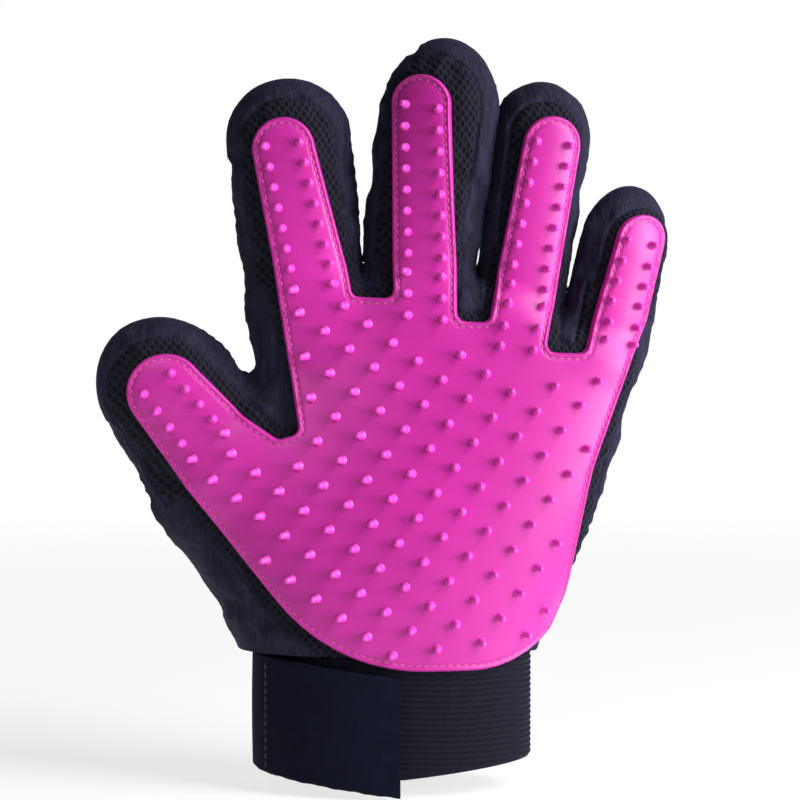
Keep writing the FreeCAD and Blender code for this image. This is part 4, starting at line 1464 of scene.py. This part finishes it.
def floor():
    """A pale disc under the glove that fades into the white background."""
    mesh = bpy.data.meshes.new("floor")
    low = CAD_BOX[0][2] - 0.0005
    ring = [2 * math.pi * k / 64 for k in range(64)]
    rim = [(FLOOR_R * math.cos(a), FLOOR_R * math.sin(a), low) for a in ring]
    mesh.from_pydata(rim, [], [tuple(range(64))])
    obj = bpy.data.objects.new("floor", mesh)
    bpy.context.scene.collection.objects.link(obj)
    n = Nodes("floor_paint")
    place = n.add("ShaderNodeNewGeometry").outputs["Position"]
    distance = n.add("ShaderNodeVectorMath", {0: place}, operation="LENGTH").outputs["Value"]
    fade = n.ramp(n.math("DIVIDE", distance, FLOOR_R), (0.15, (1, 1, 1)), (0.9, (0, 0, 0)))
    n.set(Base_Color=(0.35, 0.35, 0.35, 1), Roughness=0.9, Alpha=fade)
    n.set(Emission_Color=(1.0, 1.0, 1.0, 1.0), Emission_Strength=0.75)
    mesh.materials.append(n.material)


def white_room(strength):
    """White to the camera, softer as a light."""
    world = bpy.data.worlds.new("studio")
    bpy.context.scene.world = world
    world.use_nodes = True
    tree = world.node_tree
    background = tree.nodes["Background"]
    background.inputs[0].default_value = (1.0, 1.0, 1.0, 1.0)
    path = tree.nodes.new("ShaderNodeLightPath")
    level = tree.nodes.new("ShaderNodeMapRange")
    level.inputs["To Min"].default_value = strength
    level.inputs["To Max"].default_value = 1.0
    tree.links.new(path.outputs["Is Camera Ray"], level.inputs["Value"])
    tree.links.new(level.outputs[0], background.inputs[1])


def aim(data, place, target):
    """Puts a light or a camera at a place, pointing at a target."""
    obj = bpy.data.objects.new(data.name, data)
    obj.location = place
    obj.rotation_euler = (Vector(target) - Vector(place)).to_track_quat("-Z", "Y").to_euler()
    bpy.context.scene.collection.objects.link(obj)
    return obj


def area_light(name, place, target, size, power, colour):
    light = bpy.data.lights.new(name, "AREA")
    light.size, light.energy, light.color = size, power, colour
    aim(light, place, target)


def spot_light(name, place, target, cone, power):
    light = bpy.data.lights.new(name, "SPOT")
    light.energy, light.spot_size, light.spot_blend = power, math.radians(cone), 1.0
    light.shadow_soft_size = 0.05
    aim(light, place, target)


def build_stage():
    """The floor, a white room, soft lights from the upper right and the camera in front of the palm."""
    floor()
    white_room(0.10)
    middle = (0.0, 0.0, 0.12)
    area_light("key", (0.72, -0.40, 0.74), middle, 0.5, 9.0, (1.0, 0.97, 1.0))
    area_light("side", (0.92, -0.42, 0.16), (0.06, 0.0, 0.13), 0.5, 13.0, (1.0, 0.90, 1.0))
    thumb = FRAMES["thumb"].world((0, 0, 22)) * MM
    spot_light("thumb light", (-0.30, -0.55, 0.50), thumb, 16.0, 5.0)
    camera = bpy.data.cameras.new("camera")
    camera.lens, camera.sensor_width = CAMERA_LENS, 36
    distance = CAMERA_VIEW * camera.lens / camera.sensor_width
    elevation = math.radians(CAMERA_ELEVATION)
    target = Vector(CAMERA_TARGET)
    place = target + Vector((0, -math.cos(elevation), math.sin(elevation))) * distance
    bpy.context.scene.camera = aim(camera, place, target)
    bpy.context.scene.view_settings.view_transform = "Standard"


def build_glove():
    puff = cushion()
    for group in NET_GROUPS:
        sheet, labels = build_sheet(puff, *group)
        build_fabric(sheet, labels)
        build_pad(sheet, labels)
        build_stitches(sheet)
    build_nubs()
    build_elastic()
    build_tape()
    build_strap()
    build_patches()
    build_strap_stitches()


build_glove()
build_stage()
